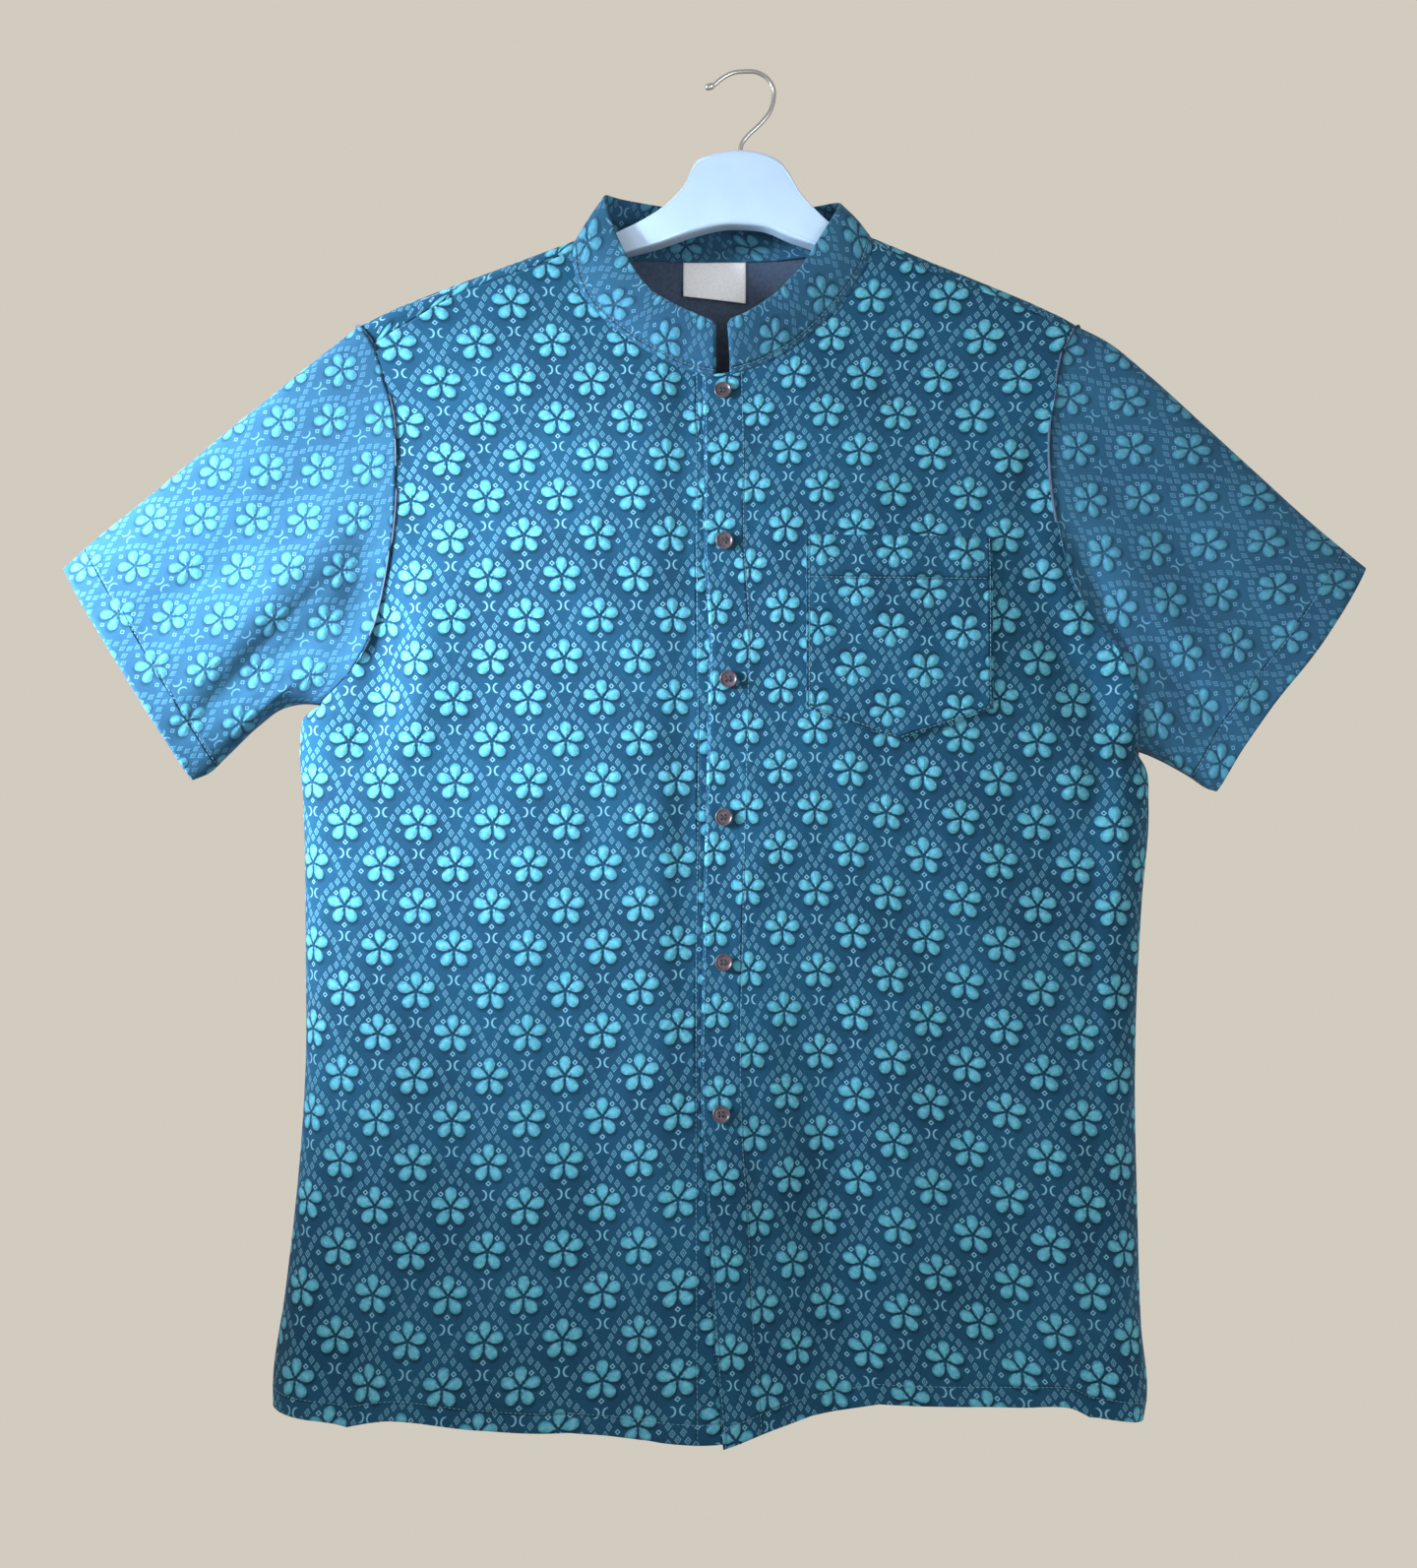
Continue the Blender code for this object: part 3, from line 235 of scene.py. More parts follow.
def creaseDepth(x, z, rows):
    # each crease is a bell across its line, fading towards both ends
    total = np.zeros_like(x)
    for x0, z0, x1, z1, width, depth in rows:
        length = math.hypot(x1 - x0, z1 - z0)
        alongX, alongZ = (x1 - x0) / length, (z1 - z0) / length
        lengthwise = (x - x0) * alongX + (z - z0) * alongZ
        sideways = (x - x0) * alongZ - (z - z0) * alongX
        middle = np.clip(1 - ((lengthwise - length / 2) / (length * creaseReach)) ** 2, 0, 1) ** 2
        total += depth * middle * np.exp(-(sideways / width) ** 2)
    return total


def waviness(x, z, size, seed):
    # soft unevenness of hanging cloth: a sum of a few slanted waves
    rng = np.random.default_rng(seed)
    total = np.zeros_like(x)
    for _ in range(7):
        angle = rng.uniform(-0.5, 0.5)
        length = rng.uniform(0.7, 1.9) * size
        phase = rng.uniform(0, 2 * math.pi)
        across = x * math.cos(angle) + z * math.sin(angle) * 0.35
        total += np.sin(across * 2 * math.pi / length + phase + 0.6 * np.sin(z / (size * 1.7) + phase))
    return total / 7


def clothPlaces(places, face, closing=1.0, movedOut=0.0):
    # rolls over the crest in an arc, then falls and stands off by the drape table
    x, run = places[..., 0], places[..., 1]
    radius = shoulders["crestRadius"]
    turn = np.clip(run / radius, -math.pi / 2, math.pi / 2)
    fall = radius * (1 - np.cos(turn)) + np.maximum(np.abs(run) - quarterTurn, 0)
    z = crestHeight(x) - fall
    beside = np.clip(np.abs(x - drape["middleX"]) / drape["halfChest"], 0, 1)
    standOff = np.interp(run, drape["run"], drape[face]) * (1 - drape["sideFlatness"] * beside**2.2)
    if face == "back":
        standOff = standOff + nape["bulgeDepth"] * smoothStep(run, 4, 26) * np.exp(
            -((x - nape["bulgeX"]) / nape["bulgeWidth"]) ** 4
            - (np.maximum(run - nape["bulgeRun"], 0) / nape["bulgeHeight"]) ** 2)
    standOff = standOff + creaseDepth(x, z, creases[face]) * smoothStep(run, *creaseFade)
    for wave in waves:
        uneven = waviness(x, z * wave["stretch"], wave["size"], wave["seed"][face])
        standOff = standOff + wave["height"] * uneven * smoothStep(run, *wave["fade"])
    out = (radius * np.sin(turn) + standOff) * closing + movedOut
    return np.stack([x, -out if face == "front" else out, z], axis=-1)


def kickDepth(x, z):
    # the hem's forward kick: a bump across, growing downwards
    beside = np.clip(1 - (np.abs(x - kick["x"]) / kick["reach"]) ** 2, 0, 1) ** 2
    return kick["depth"] * beside * smoothStep(-z, -kick["top"], -kick["foot"])


def armholeOpening(edge, side):
    # 0 at the under seam's corner, rounding up to 1 above it
    edgeZ = crestHeight(edge[:, 0]) - (np.abs(edge[:, 1]) - quarterTurn + shoulders["crestRadius"])
    return quarterRound(edgeZ - side["side"][0][1], drape["underarmTurn"])


def closingByRow(edge, openShare, gridX):
    # the panel closes towards its side in a quarter circle, and less where the armhole is open
    beside = quarterRound(np.abs(gridX - edge[:, :1]), drape["sideTurn"])
    return 1 - (1 - beside) * (1 - openShare[:, None])


# the print's place on the cloth: lengths of cloth across and down, in millimetres

def printPlaces(grid, places, face, startX):
    leastFall, steepest = 0.05, 0.6
    fall = np.gradient(grid[..., 2], axis=0)
    fallRate = np.gradient(grid[..., 1], axis=0) / np.where(np.abs(fall) < leastFall, -leastFall, fall)
    fallRate = np.clip(fallRate, -steepest, steepest)
    middleRate = (fallRate[:, 1:] + fallRate[:, :-1]) / 2
    stepX = np.diff(grid[..., 0], axis=1)
    levelY = np.diff(grid[..., 1], axis=1) - middleRate * np.diff(grid[..., 2], axis=1)
    steps = np.sign(stepX) * np.hypot(stepX, levelY)
    across = np.concatenate([np.zeros((len(grid), 1)), np.cumsum(steps, axis=1)], axis=1)
    nearest = np.abs(grid[..., 0] - startX).argmin(axis=1)
    rows = np.arange(len(grid))
    across += (grid[rows, nearest, 0] - across[rows, nearest])[:, None]
    runs = np.linspace(0, 900, 181)  # every 5 mm
    slope = np.gradient(np.interp(runs, drape["run"], drape[face]), runs)
    extra = np.cumsum(np.hypot(1, slope) - 1) * (runs[1] - runs[0])
    beside = np.clip(np.abs(places[..., 0] - drape["middleX"]) / drape["halfChest"], 0, 1)
    share = (1 - drape["sideFlatness"] * beside**2.2) ** 2
    run = places[..., 1]
    length = run + np.interp(run, runs, extra) * share
    return np.stack([across, crestHeight(places[..., 0]) - length], axis=-1)


# how the panels carry their print: repeats across and up as powers of the place in the picture frame
view = dict(x=-24.05, z=-468.98, distance=1200.0, pixel=0.65, pixelsTall=1593, unitPixels=400.0)
hungPrint = {
    "frontRight": dict(
        order=3,
        across=[1.9384, -0.0968, 0.0601, -0.0203, 5.3749, -0.2211, -0.0789, 0.0862, -0.1688, 0.0513],
        up=[-4.5778, -4.8108, 0.1122, 0.0032, -0.1244, -0.2305, -0.04, -0.0791, -0.2562, -0.0096]),
    "frontLeft": dict(
        order=3,
        across=[-1.6026, -0.0068, -0.1446, 0.019, 6.2551, 0.0763, -0.0215, -1.3959, -0.0802, 0.6085],
        up=[-4.6849, -4.867, 0.092, 0.0129, -0.4537, -0.1618, -0.0333, 1.5235, 0.3138, -0.8989]),
    "pocket": dict(order=1, across=[-2.4253, 0.2389, 5.4272], up=[-2.0179, -4.9503, 0.146]),
    "sleeveRight": dict(
        order=2, across=[6.9343, 3.6407, -0.2346, 3.025, -1.0216, -0.0615],
        up=[2.667, -2.2682, 0.3755, 3.7375, 0.0534, -0.0664]),
    "sleeveLeft": dict(
        order=2, across=[-7.5096, -3.6675, 0.1206, 3.7191, -0.7477, -0.3519],
        up=[6.0705, 1.5579, 1.456, -7.3878, -2.3318, 0.8774]),
}


def powersOf(grid, order):
    # powers of the place as the camera sees it, up to an order in all
    scale = view["pixel"] * (1 + grid[..., 1] / view["distance"]) * view["unitPixels"]
    right, down = (grid[..., 0] - view["x"]) / scale, (view["z"] - grid[..., 2]) / scale
    return np.stack([right**i * down**j for i in range(order + 1) for j in range(order + 1 - i)], axis=-1)


def wantedPrint(grid, name):
    # lengths of print at each place, from the panel's polynomials
    table = hungPrint[name]
    powers = powersOf(grid, table["order"])
    return np.stack([powers @ np.array(table["across"]) * chart["printWidth"],
                     powers @ np.array(table["up"]) * chart["printHeight"]], axis=-1)


def settledPrint(flat, grid, name, seen):
    # keeps the cloth's own lengths where it turns away, and moves the whole print by a smooth amount
    powers = powersOf(grid, hungPrint[name]["order"])
    moves = np.linalg.lstsq(powers[seen], (wantedPrint(grid, name) - flat)[seen], rcond=None)[0]
    return flat + powers @ moves


# rows of stitches: every stitch is a short spindle of thread laid along a line on the cloth

stitch = dict(pitch=3.1, length=2.2, first=1.0, radius=0.26, endRadius=0.55, lift=0.12, endLift=-0.4, sides=5)
stitchLines = []


def lengthsAlong(points):
    # running length of a line of points
    return np.concatenate([[0.0], np.cumsum(np.linalg.norm(np.diff(points, axis=0), axis=1))])


def rowLengths(grid):
    # running length of every row from its first column
    steps = np.linalg.norm(np.diff(grid, axis=1), axis=2)
    return np.concatenate([np.zeros((len(grid), 1)), np.cumsum(steps, axis=1)], axis=1)


def columnLengths(grid):
    # running length of every column from its last row up
    return rowLengths(np.swapaxes(grid[::-1], 0, 1)).T[::-1]


def keepLine(path, outward):
    stitchLines.append((np.asarray(path, float), np.asarray(outward, float)))


def lineAcross(grid, outward, lengths, at):
    # the line where every row's running length reaches a value
    cell = np.clip((lengths < at).sum(axis=1) - 1, 0, lengths.shape[1] - 2)
    rows = np.arange(len(grid))
    low, high = lengths[rows, cell], lengths[rows, cell + 1]
    share = np.clip((at - low) / np.maximum(high - low, 1e-6), 0, 1)[:, None]
    keepLine(grid[rows, cell] * (1 - share) + grid[rows, cell + 1] * share,
             unit(outward[rows, cell] * (1 - share) + outward[rows, cell + 1] * share))


def lineDown(grid, outward, lengths, at):
    # the same for every column
    lineAcross(np.swapaxes(grid[::-1], 0, 1), np.swapaxes(outward[::-1], 0, 1), lengths[::-1].T, at)


def addStitches(name, look):
    places, faces, start, sides = [], [], 0, stitch["sides"]
    angles = np.linspace(0, 2 * math.pi, sides + 1)[:-1]
    turns = [(i, (i + 1) % sides) for i in range(sides)]
    quads = [[k * sides + i, (k + 1) * sides + i, (k + 1) * sides + j, k * sides + j]
             for k in range(2) for i, j in turns]
    caps = [list(range(sides)), list(range(2 * sides, 3 * sides))[::-1]]
    lifts = stitch["lift"] * np.array([stitch["endLift"], 1.0, stitch["endLift"]])
    radii = stitch["radius"] * np.array([stitch["endRadius"], 1.0, stitch["endRadius"]])
    for path, outward in stitchLines:
        lengths = lengthsAlong(path)
        starts = np.arange(stitch["first"], lengths[-1] - stitch["length"], stitch["pitch"])
        along = starts[:, None] + np.array([0.0, 0.5, 1.0]) * stitch["length"]
        centre = np.stack([np.interp(along, lengths, path[:, axis]) for axis in range(3)], axis=-1)
        up = unit(np.stack([np.interp(along, lengths, outward[:, axis]) for axis in range(3)], axis=-1))
        side = unit(np.cross(centre[:, 2] - centre[:, 0], up[:, 1]))[:, None]
        centre = centre + up * lifts[None, :, None]
        radius = radii[None, :, None, None]
        ring = centre[:, :, None] + radius * (side[:, :, None] * np.cos(angles)[:, None]
                                              + up[:, :, None] * np.sin(angles)[:, None])
        places.append(ring.reshape(-1, 3))
        firsts = start + np.arange(len(starts)) * 3 * sides
        for shape in (quads, caps):
            faces += (np.array(shape)[None] + firsts[:, None, None]).reshape(-1, len(shape[0])).tolist()
        start += len(starts) * 3 * sides
    piece = meshObject(name, np.concatenate(places), faces)
    piece.data.materials.append(look)
    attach(piece, "root")
    print("stitches", start // (3 * sides))


# meshes

def meshObject(name, places, faces, flat=None, seamLine=None, smooth=True):
    mesh = bpy.data.meshes.new(name)
    mesh.from_pydata((np.asarray(places) * mm).tolist(), [], [list(face) for face in faces])
    if flat is not None:
        layer = mesh.uv_layers.new(name="print")
        loopVerts = np.empty(len(mesh.loops), dtype=np.int32)
        mesh.loops.foreach_get("vertex_index", loopVerts)
        layer.data.foreach_set("uv", (flat[loopVerts] * mm).astype(np.float32).ravel())
    # distance from the nearest row of stitches, read by the cloth's material
    distance = mesh.attributes.new("seamLine", "FLOAT", "POINT")
    far = np.full(len(mesh.vertices), 100.0) if seamLine is None else np.ravel(seamLine)
    distance.data.foreach_set("value", (far * mm).astype(np.float32))
    mesh.polygons.foreach_set("use_smooth", np.full(len(mesh.polygons), smooth))
    mesh.update()
    piece = bpy.data.objects.new(name, mesh)
    bpy.context.scene.collection.objects.link(piece)
    return piece


def gridFaces(rows, columns, closed=False):
    # four-sided faces between neighbours on a grid, closed round its rows if asked
    first = np.arange(rows - 1)[:, None] * columns
    here = np.arange(columns if closed else columns - 1)[None]
    beside = (here + 1) % columns
    faces = np.stack([first + here, first + beside, first + columns + beside, first + columns + here], axis=-1)
    return faces.reshape(-1, 4)


def faceSign(grid):
    # +1 where the faces' mean direction has a positive y
    a, b, d = grid[:-1, :-1], grid[:-1, 1:], grid[1:, :-1]
    return np.sign(np.cross(b - a, d - a)[..., 1].sum())


def facing(outward, row, column, way):
    # turns all directions so that the one at a row and column points along +Y or -Y
    return outward * (way * np.sign(outward[row, column, 1]))


def gridNormals(grid):
    # direction off the surface: the cross product of the steps along both ways of the grid
    return unit(np.cross(np.gradient(grid, axis=1), np.gradient(grid, axis=0)))


def addWall(piece, wall):
    solid = piece.modifiers.new("wall", "SOLIDIFY")
    solid.thickness = wall * mm
    solid.offset = -1.0
    solid.material_offset = 1
    solid.material_offset_rim = 0


def addCloth(name, grid, flat, look, inside, wall, towardsY, seamLine=None, shown=slice(None)):
    # a sheet with its wall, its right side towards +Y or -Y, judged by the columns shown
    faces = gridFaces(*grid.shape[:2])
    if faceSign(grid[:, shown]) != towardsY:
        faces = faces[:, ::-1]
    piece = meshObject(name, grid.reshape(-1, 3), faces, flat.reshape(-1, 2), seamLine)
    piece.data.materials.append(look)
    piece.data.materials.append(inside)
    addWall(piece, wall)
    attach(piece, "root")
    return piece


def drawnBack(grid, edge, gap):
    # moves one border line of the grid inwards by a gap
    here, inner = (0, 2) if edge in ("top", "start") else (-1, -3)
    lines = grid if edge in ("top", "foot") else np.swapaxes(grid, 0, 1)
    lines[here] += unit(lines[inner] - lines[here]) * gap


def declareSheet(node):
    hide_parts(node)


# node materials

class NodeBoard:
    # short forms for building a material's nodes
    def __init__(self, tree):
        self.tree = tree

    def node(self, kind, **values):
        made = self.tree.nodes.new(kind)
        for name, value in values.items():
            setattr(made, name, value)
        return made

    def link(self, source, target):
        if hasattr(source, "is_output"):
            self.tree.links.new(source, target)
        else:
            target.default_value = source

    def math(self, operation, first, second=0.0, third=0.0):
        made = self.node("ShaderNodeMath", operation=operation)
        for socket, value in zip(made.inputs, (first, second, third)):
            self.link(value, socket)
        return made.outputs[0]

    def ramp(self, value, low, high, outLow=0.0, outHigh=1.0):
        made = self.node("ShaderNodeMapRange", interpolation_type="SMOOTHSTEP")
        for name, entry in (("Value", value), ("From Min", low), ("From Max", high),
                            ("To Min", outLow), ("To Max", outHigh)):
            self.link(entry, made.inputs[name])
        return made.outputs[0]

    def mix(self, share, first, second):
        made = self.node("ShaderNodeMix", data_type="RGBA")
        self.link(share, made.inputs[0])
        self.link(first, made.inputs[6])
        self.link(second, made.inputs[7])
        return made.outputs[2]

    def noise(self, place, scale, detail=None):
        made = self.node("ShaderNodeTexNoise")
        made.inputs["Scale"].default_value = scale
        if detail is not None:
            made.inputs["Detail"].default_value = detail
        self.link(place, made.inputs["Vector"])
        return made.outputs["Fac"]


# the flower lattice, in chart units: a cell is 740 wide and 843 tall
chart = dict(
    cellWidth=740.0, cellHeight=843.0, printWidth=47.5, printHeight=55.5,
    petalFar=117.0, petalLong=76.0, petalWide=56.0, petalTaper=0.14, stemFar=50.0, stemLong=27.0, stemWide=15.0,
    hole=24.0, holeEdge=(-6.0, 8.0), shadeShift=(-9.0, 24.0),
    rings=[(98, 126), (205, -68), (0, -195)], ringHalf=29.0,
    beads=[(0, 262), (84, 238), (150, 190), (203, 129), (253, 56), (289, -20), (323, -97)],
    beadWide=31.0, beadTall=44.0,
    arcY=-308.0, arcX=73.0, arcRadius=53.0, arcHalf=8.0, arcEdge=(0.4, 1.5), arcCut=(-12.0, -2.0), arcTall=50.0,
    arcSoft=6.0,
)


def latticeGroup():
    # one rectangular lattice of the motif; the print lays two of them half a cell apart
    group = bpy.data.node_groups.new("flowerLattice", "ShaderNodeTree")
    for name in ("Across", "Up"):
        group.interface.new_socket(name, in_out="INPUT", socket_type="NodeSocketFloat")
    for name in ("Petal", "Hole", "Shade", "Bead", "Ring", "Arc"):
        group.interface.new_socket(name, in_out="OUTPUT", socket_type="NodeSocketFloat")
    board = NodeBoard(group)
    source = board.node("NodeGroupInput")
    result = board.node("NodeGroupOutput")
    x = board.math("WRAP", source.outputs["Across"], chart["cellWidth"] / 2, -chart["cellWidth"] / 2)
    y = board.math("WRAP", source.outputs["Up"], chart["cellHeight"] / 2, -chart["cellHeight"] / 2)
    sideX = board.math("ABSOLUTE", x)

    def length(first, second):
        return board.math("SQRT", board.math(
            "ADD", board.math("MULTIPLY", first, first), board.math("MULTIPLY", second, second)))

    def petals(shiftX, shiftY):
        # the plane folded into one fifth; there a petal is an oval and its stem a narrow one
        px, py = board.math("ADD", x, shiftX), board.math("ADD", y, shiftY)
        radius = length(px, py)
        angle = board.math("WRAP", board.math("ARCTAN2", px, py), math.pi / 5, -math.pi / 5)
        sideways = board.math("MULTIPLY", radius, board.math("SINE", angle))
        outwards = board.math("MULTIPLY", radius, board.math("COSINE", angle))
        fromPetal = board.math("SUBTRACT", outwards, chart["petalFar"])
        width = board.math("MULTIPLY_ADD", fromPetal, chart["petalTaper"], chart["petalWide"])
        petal = length(board.math("DIVIDE", sideways, width),
                       board.math("DIVIDE", fromPetal, chart["petalLong"]))
        fromStem = board.math("DIVIDE", board.math("SUBTRACT", outwards, chart["stemFar"]), chart["stemLong"])
        stem = length(board.math("DIVIDE", sideways, chart["stemWide"]), fromStem)
        return radius, board.math("MINIMUM", petal, stem)

    radius, petal = petals(0.0, 0.0)
    board.link(petal, result.inputs["Petal"])
    holeFrom, holeTo = (chart["hole"] + edge for edge in chart["holeEdge"])
    board.link(board.ramp(radius, holeFrom, holeTo, 1.0, 0.0), result.inputs["Hole"])
    # the petals shifted a little off their place: a painted drop shadow under each flower
    board.link(petals(*chart["shadeShift"])[1], result.inputs["Shade"])

    def offBy(value, middle, size):
        return board.math("DIVIDE", board.math("ABSOLUTE", board.math("SUBTRACT", value, float(middle))), size)

    def diamond(points, wide, tall):
        # the sum of both distances, each over its half size, from the nearest centre
        nearest = None
        for centreX, centreY in points:
            distance = board.math("ADD", offBy(sideX, centreX, wide), offBy(y, centreY, tall))
            nearest = distance if nearest is None else board.math("MINIMUM", nearest, distance)
        return nearest

    board.link(diamond(chart["beads"], chart["beadWide"], chart["beadTall"]), result.inputs["Bead"])
    board.link(diamond(chart["rings"], chart["ringHalf"], chart["ringHalf"]), result.inputs["Ring"])
    fromY = board.math("SUBTRACT", y, chart["arcY"])
    fromArc = board.math("ABSOLUTE", board.math(
        "SUBTRACT", length(board.math("SUBTRACT", sideX, chart["arcX"]), fromY), chart["arcRadius"]))
    cutFrom, cutTo = (chart["arcX"] + cut for cut in chart["arcCut"])
    inFront = board.ramp(sideX, cutFrom, cutTo, 1.0, 0.0)
    inHeight = board.ramp(board.math("ABSOLUTE", fromY), chart["arcTall"] - chart["arcSoft"],
                          chart["arcTall"] + chart["arcSoft"], 1.0, 0.0)
    edgeFrom, edgeTo = (chart["arcHalf"] * edge for edge in chart["arcEdge"])
    arc = board.ramp(fromArc, edgeFrom, edgeTo, 1.0, 0.0)
    board.link(board.math("MULTIPLY", arc, board.math("MULTIPLY", inFront, inHeight)), result.inputs["Arc"])
    return group


clothFinish = dict(
    petalEdge=(0.93, 1.05), shadeEdge=(0.85, 1.35), beadEdge=(0.88, 1.08), beadInside=(0.56, 0.74),
    beadDot=(0.16, 0.34), ringEdge=(0.85, 1.1), ringInside=(0.4, 0.6),
    grainScale=900.0, cloudScale=14.0, blotchScale=320.0, weaveScale=260.0, weaveDistortion=1.2,
    groove=(0.0003, 0.0016), pucker=(0.001, 0.007), roughness=(0.8, 0.97),
    sheen=0.16, sheenRoughness=0.45, sheenTint=linearColor(150, 200, 235), specular=0.12, bumpDistance=0.0008,
)
# how much of each tone is mixed in, and how high each part of the cloth stands
toneShares = dict(shadow=0.7, bead=0.34, beadRim=0.5, ring=0.95, arc=0.8, weft=0.22, blotch=0.45, grain=0.18,
                  groove=0.6)
relief = dict(flower=0.55, dome=0.7, bead=0.16, weave=0.10, grain=0.16, cloud=0.6, groove=-1.1, pucker=0.7)


def clothMaterial(name, group, turn, phase, tones):
    # printed cotton: the lattice read from the piece's own print coordinates, with weave and nap
    look = bpy.data.materials.new(name)
    look.use_nodes = True
    board = NodeBoard(look.node_tree)
    shader = look.node_tree.nodes["Principled BSDF"]
    place = board.node("ShaderNodeUVMap", uv_map="print")
    turned = board.node("ShaderNodeMapping", vector_type="POINT")
    turned.inputs["Rotation"].default_value = (0.0, 0.0, turn)
    board.link(place.outputs[0], turned.inputs["Vector"])
    parts = board.node("ShaderNodeSeparateXYZ")
    board.link(turned.outputs[0], parts.inputs[0])
    acrossScale = chart["cellWidth"] / (chart["printWidth"] * mm)
    upScale = chart["cellHeight"] / (chart["printHeight"] * mm)
    across = board.math("MULTIPLY_ADD", parts.outputs["X"], acrossScale, -phase[0] * mm * acrossScale)
    up = board.math("MULTIPLY_ADD", parts.outputs["Y"], upScale, -phase[1] * mm * upScale)
    cells = []
    for shift in (0.0, 0.5):
        cell = board.node("ShaderNodeGroup", node_tree=group)
        board.link(board.math("ADD", across, shift * chart["cellWidth"]), cell.inputs["Across"])
        board.link(board.math("ADD", up, shift * chart["cellHeight"]), cell.inputs["Up"])
        cells.append(cell)

    def nearest(socket, operation="MINIMUM"):
        return board.math(operation, cells[0].outputs[socket], cells[1].outputs[socket])

    petal = nearest("Petal")
    petalMask = board.ramp(petal, *clothFinish["petalEdge"], 1.0, 0.0)
    hole = nearest("Hole", "MAXIMUM")
    flower = board.math("MULTIPLY", petalMask, board.math("SUBTRACT", 1.0, hole))
    shade = board.ramp(nearest("Shade"), *clothFinish["shadeEdge"], 1.0, 0.0)
    bead = nearest("Bead")
    beadMask = board.ramp(bead, *clothFinish["beadEdge"], 1.0, 0.0)
    beadRim = board.math("MULTIPLY", beadMask, board.ramp(bead, *clothFinish["beadInside"]))
    beadCore = board.ramp(bead, *clothFinish["beadDot"], 1.0, 0.0)
    ring = nearest("Ring")
    ringMask = board.math("MULTIPLY", board.ramp(ring, *clothFinish["ringEdge"], 1.0, 0.0),
                          board.ramp(ring, *clothFinish["ringInside"]))
    arc = nearest("Arc", "MAXIMUM")

    grain = board.noise(place.outputs[0], clothFinish["grainScale"], 3.0)
    cloud = board.noise(place.outputs[0], clothFinish["cloudScale"], 4.0)
    blotch = board.noise(place.outputs[0], clothFinish["blotchScale"])
    warp = board.node("ShaderNodeTexWave", wave_type="BANDS", bands_direction="X")
    weft = board.node("ShaderNodeTexWave", wave_type="BANDS", bands_direction="Y")
    for wave in (warp, weft):
        wave.inputs["Scale"].default_value = clothFinish["weaveScale"]
        wave.inputs["Distortion"].default_value = clothFinish["weaveDistortion"]
        wave.inputs["Detail"].default_value = 1.0
        board.link(turned.outputs[0], wave.inputs["Vector"])
    weave = board.math("MULTIPLY", warp.outputs["Fac"], weft.outputs["Fac"])

    def tinted(mask, share, under, tone):
        return board.mix(board.math("MULTIPLY", mask, toneShares[share]), under, tones[tone])

    ground = board.mix(board.ramp(cloud, 0.35, 0.65), tones["groundDark"], tones["ground"])
    seamLine = board.node("ShaderNodeAttribute", attribute_name="seamLine").outputs["Fac"]
    groove = board.ramp(seamLine, *clothFinish["groove"], 1.0, 0.0)
    pucker = board.math("MULTIPLY", board.ramp(seamLine, *clothFinish["pucker"], 1.0, 0.0), blotch)
    # painted drop shadow: the ground darkened under each flower
    ground = tinted(shade, "shadow", ground, "shadow")
    color = tinted(beadMask, "bead", ground, "bead")
    color = tinted(beadRim, "beadRim", color, "beadRim")
    color = tinted(beadCore, "beadRim", color, "beadRim")
    color = tinted(ringMask, "ring", color, "beadRim")
    color = tinted(arc, "arc", color, "arc")
    # painted shade: each petal darker from its middle towards its edge, so that it looks domed
    petalTone = board.mix(board.ramp(petal, 0.4, 1.02), tones["petal"], tones["petalEdge"])
    petalTone = tinted(weft.outputs["Fac"], "weft", petalTone, "petalEdge")
    petalTone = board.mix(board.ramp(blotch, 0.42, 0.68, 0.0, toneShares["blotch"]), petalTone,
                          tones["petalLight"])
    color = board.mix(flower, color, petalTone)
    color = board.mix(board.ramp(grain, 0.3, 0.75, 0.0, toneShares["grain"]), color, tones["groundDark"])
    # painted shade along the rows of stitches, where the seam sinks into a groove
    color = tinted(groove, "groove", color, "shadow")
    board.link(color, shader.inputs["Base Color"])

    board.link(board.ramp(grain, 0.2, 0.8, *clothFinish["roughness"]), shader.inputs["Roughness"])
    shader.inputs["Sheen Weight"].default_value = clothFinish["sheen"]
    shader.inputs["Sheen Roughness"].default_value = clothFinish["sheenRoughness"]
    shader.inputs["Sheen Tint"].default_value = clothFinish["sheenTint"]
    shader.inputs["Specular IOR Level"].default_value = clothFinish["specular"]
    # the height is a sum: domed petals, beads, weave, nap, unevenness, the stitches' groove and puckers
    dome = board.math("MULTIPLY", board.ramp(petal, 0.1, 1.0, 1.0, 0.0), relief["dome"])
    height = board.math("MULTIPLY_ADD", flower, relief["flower"], board.math("MULTIPLY", dome, flower))
    for part, share in ((beadMask, "bead"), (weave, "weave"), (grain, "grain"), (cloud, "cloud"),
                        (groove, "groove"), (pucker, "pucker")):
        height = board.math("MULTIPLY_ADD", part, relief[share], height)
    bump = board.node("ShaderNodeBump")
    bump.inputs["Strength"].default_value = 1.0
    bump.inputs["Distance"].default_value = clothFinish["bumpDistance"]
    board.link(height, bump.inputs["Height"])
    board.link(bump.outputs[0], shader.inputs["Normal"])
    return look


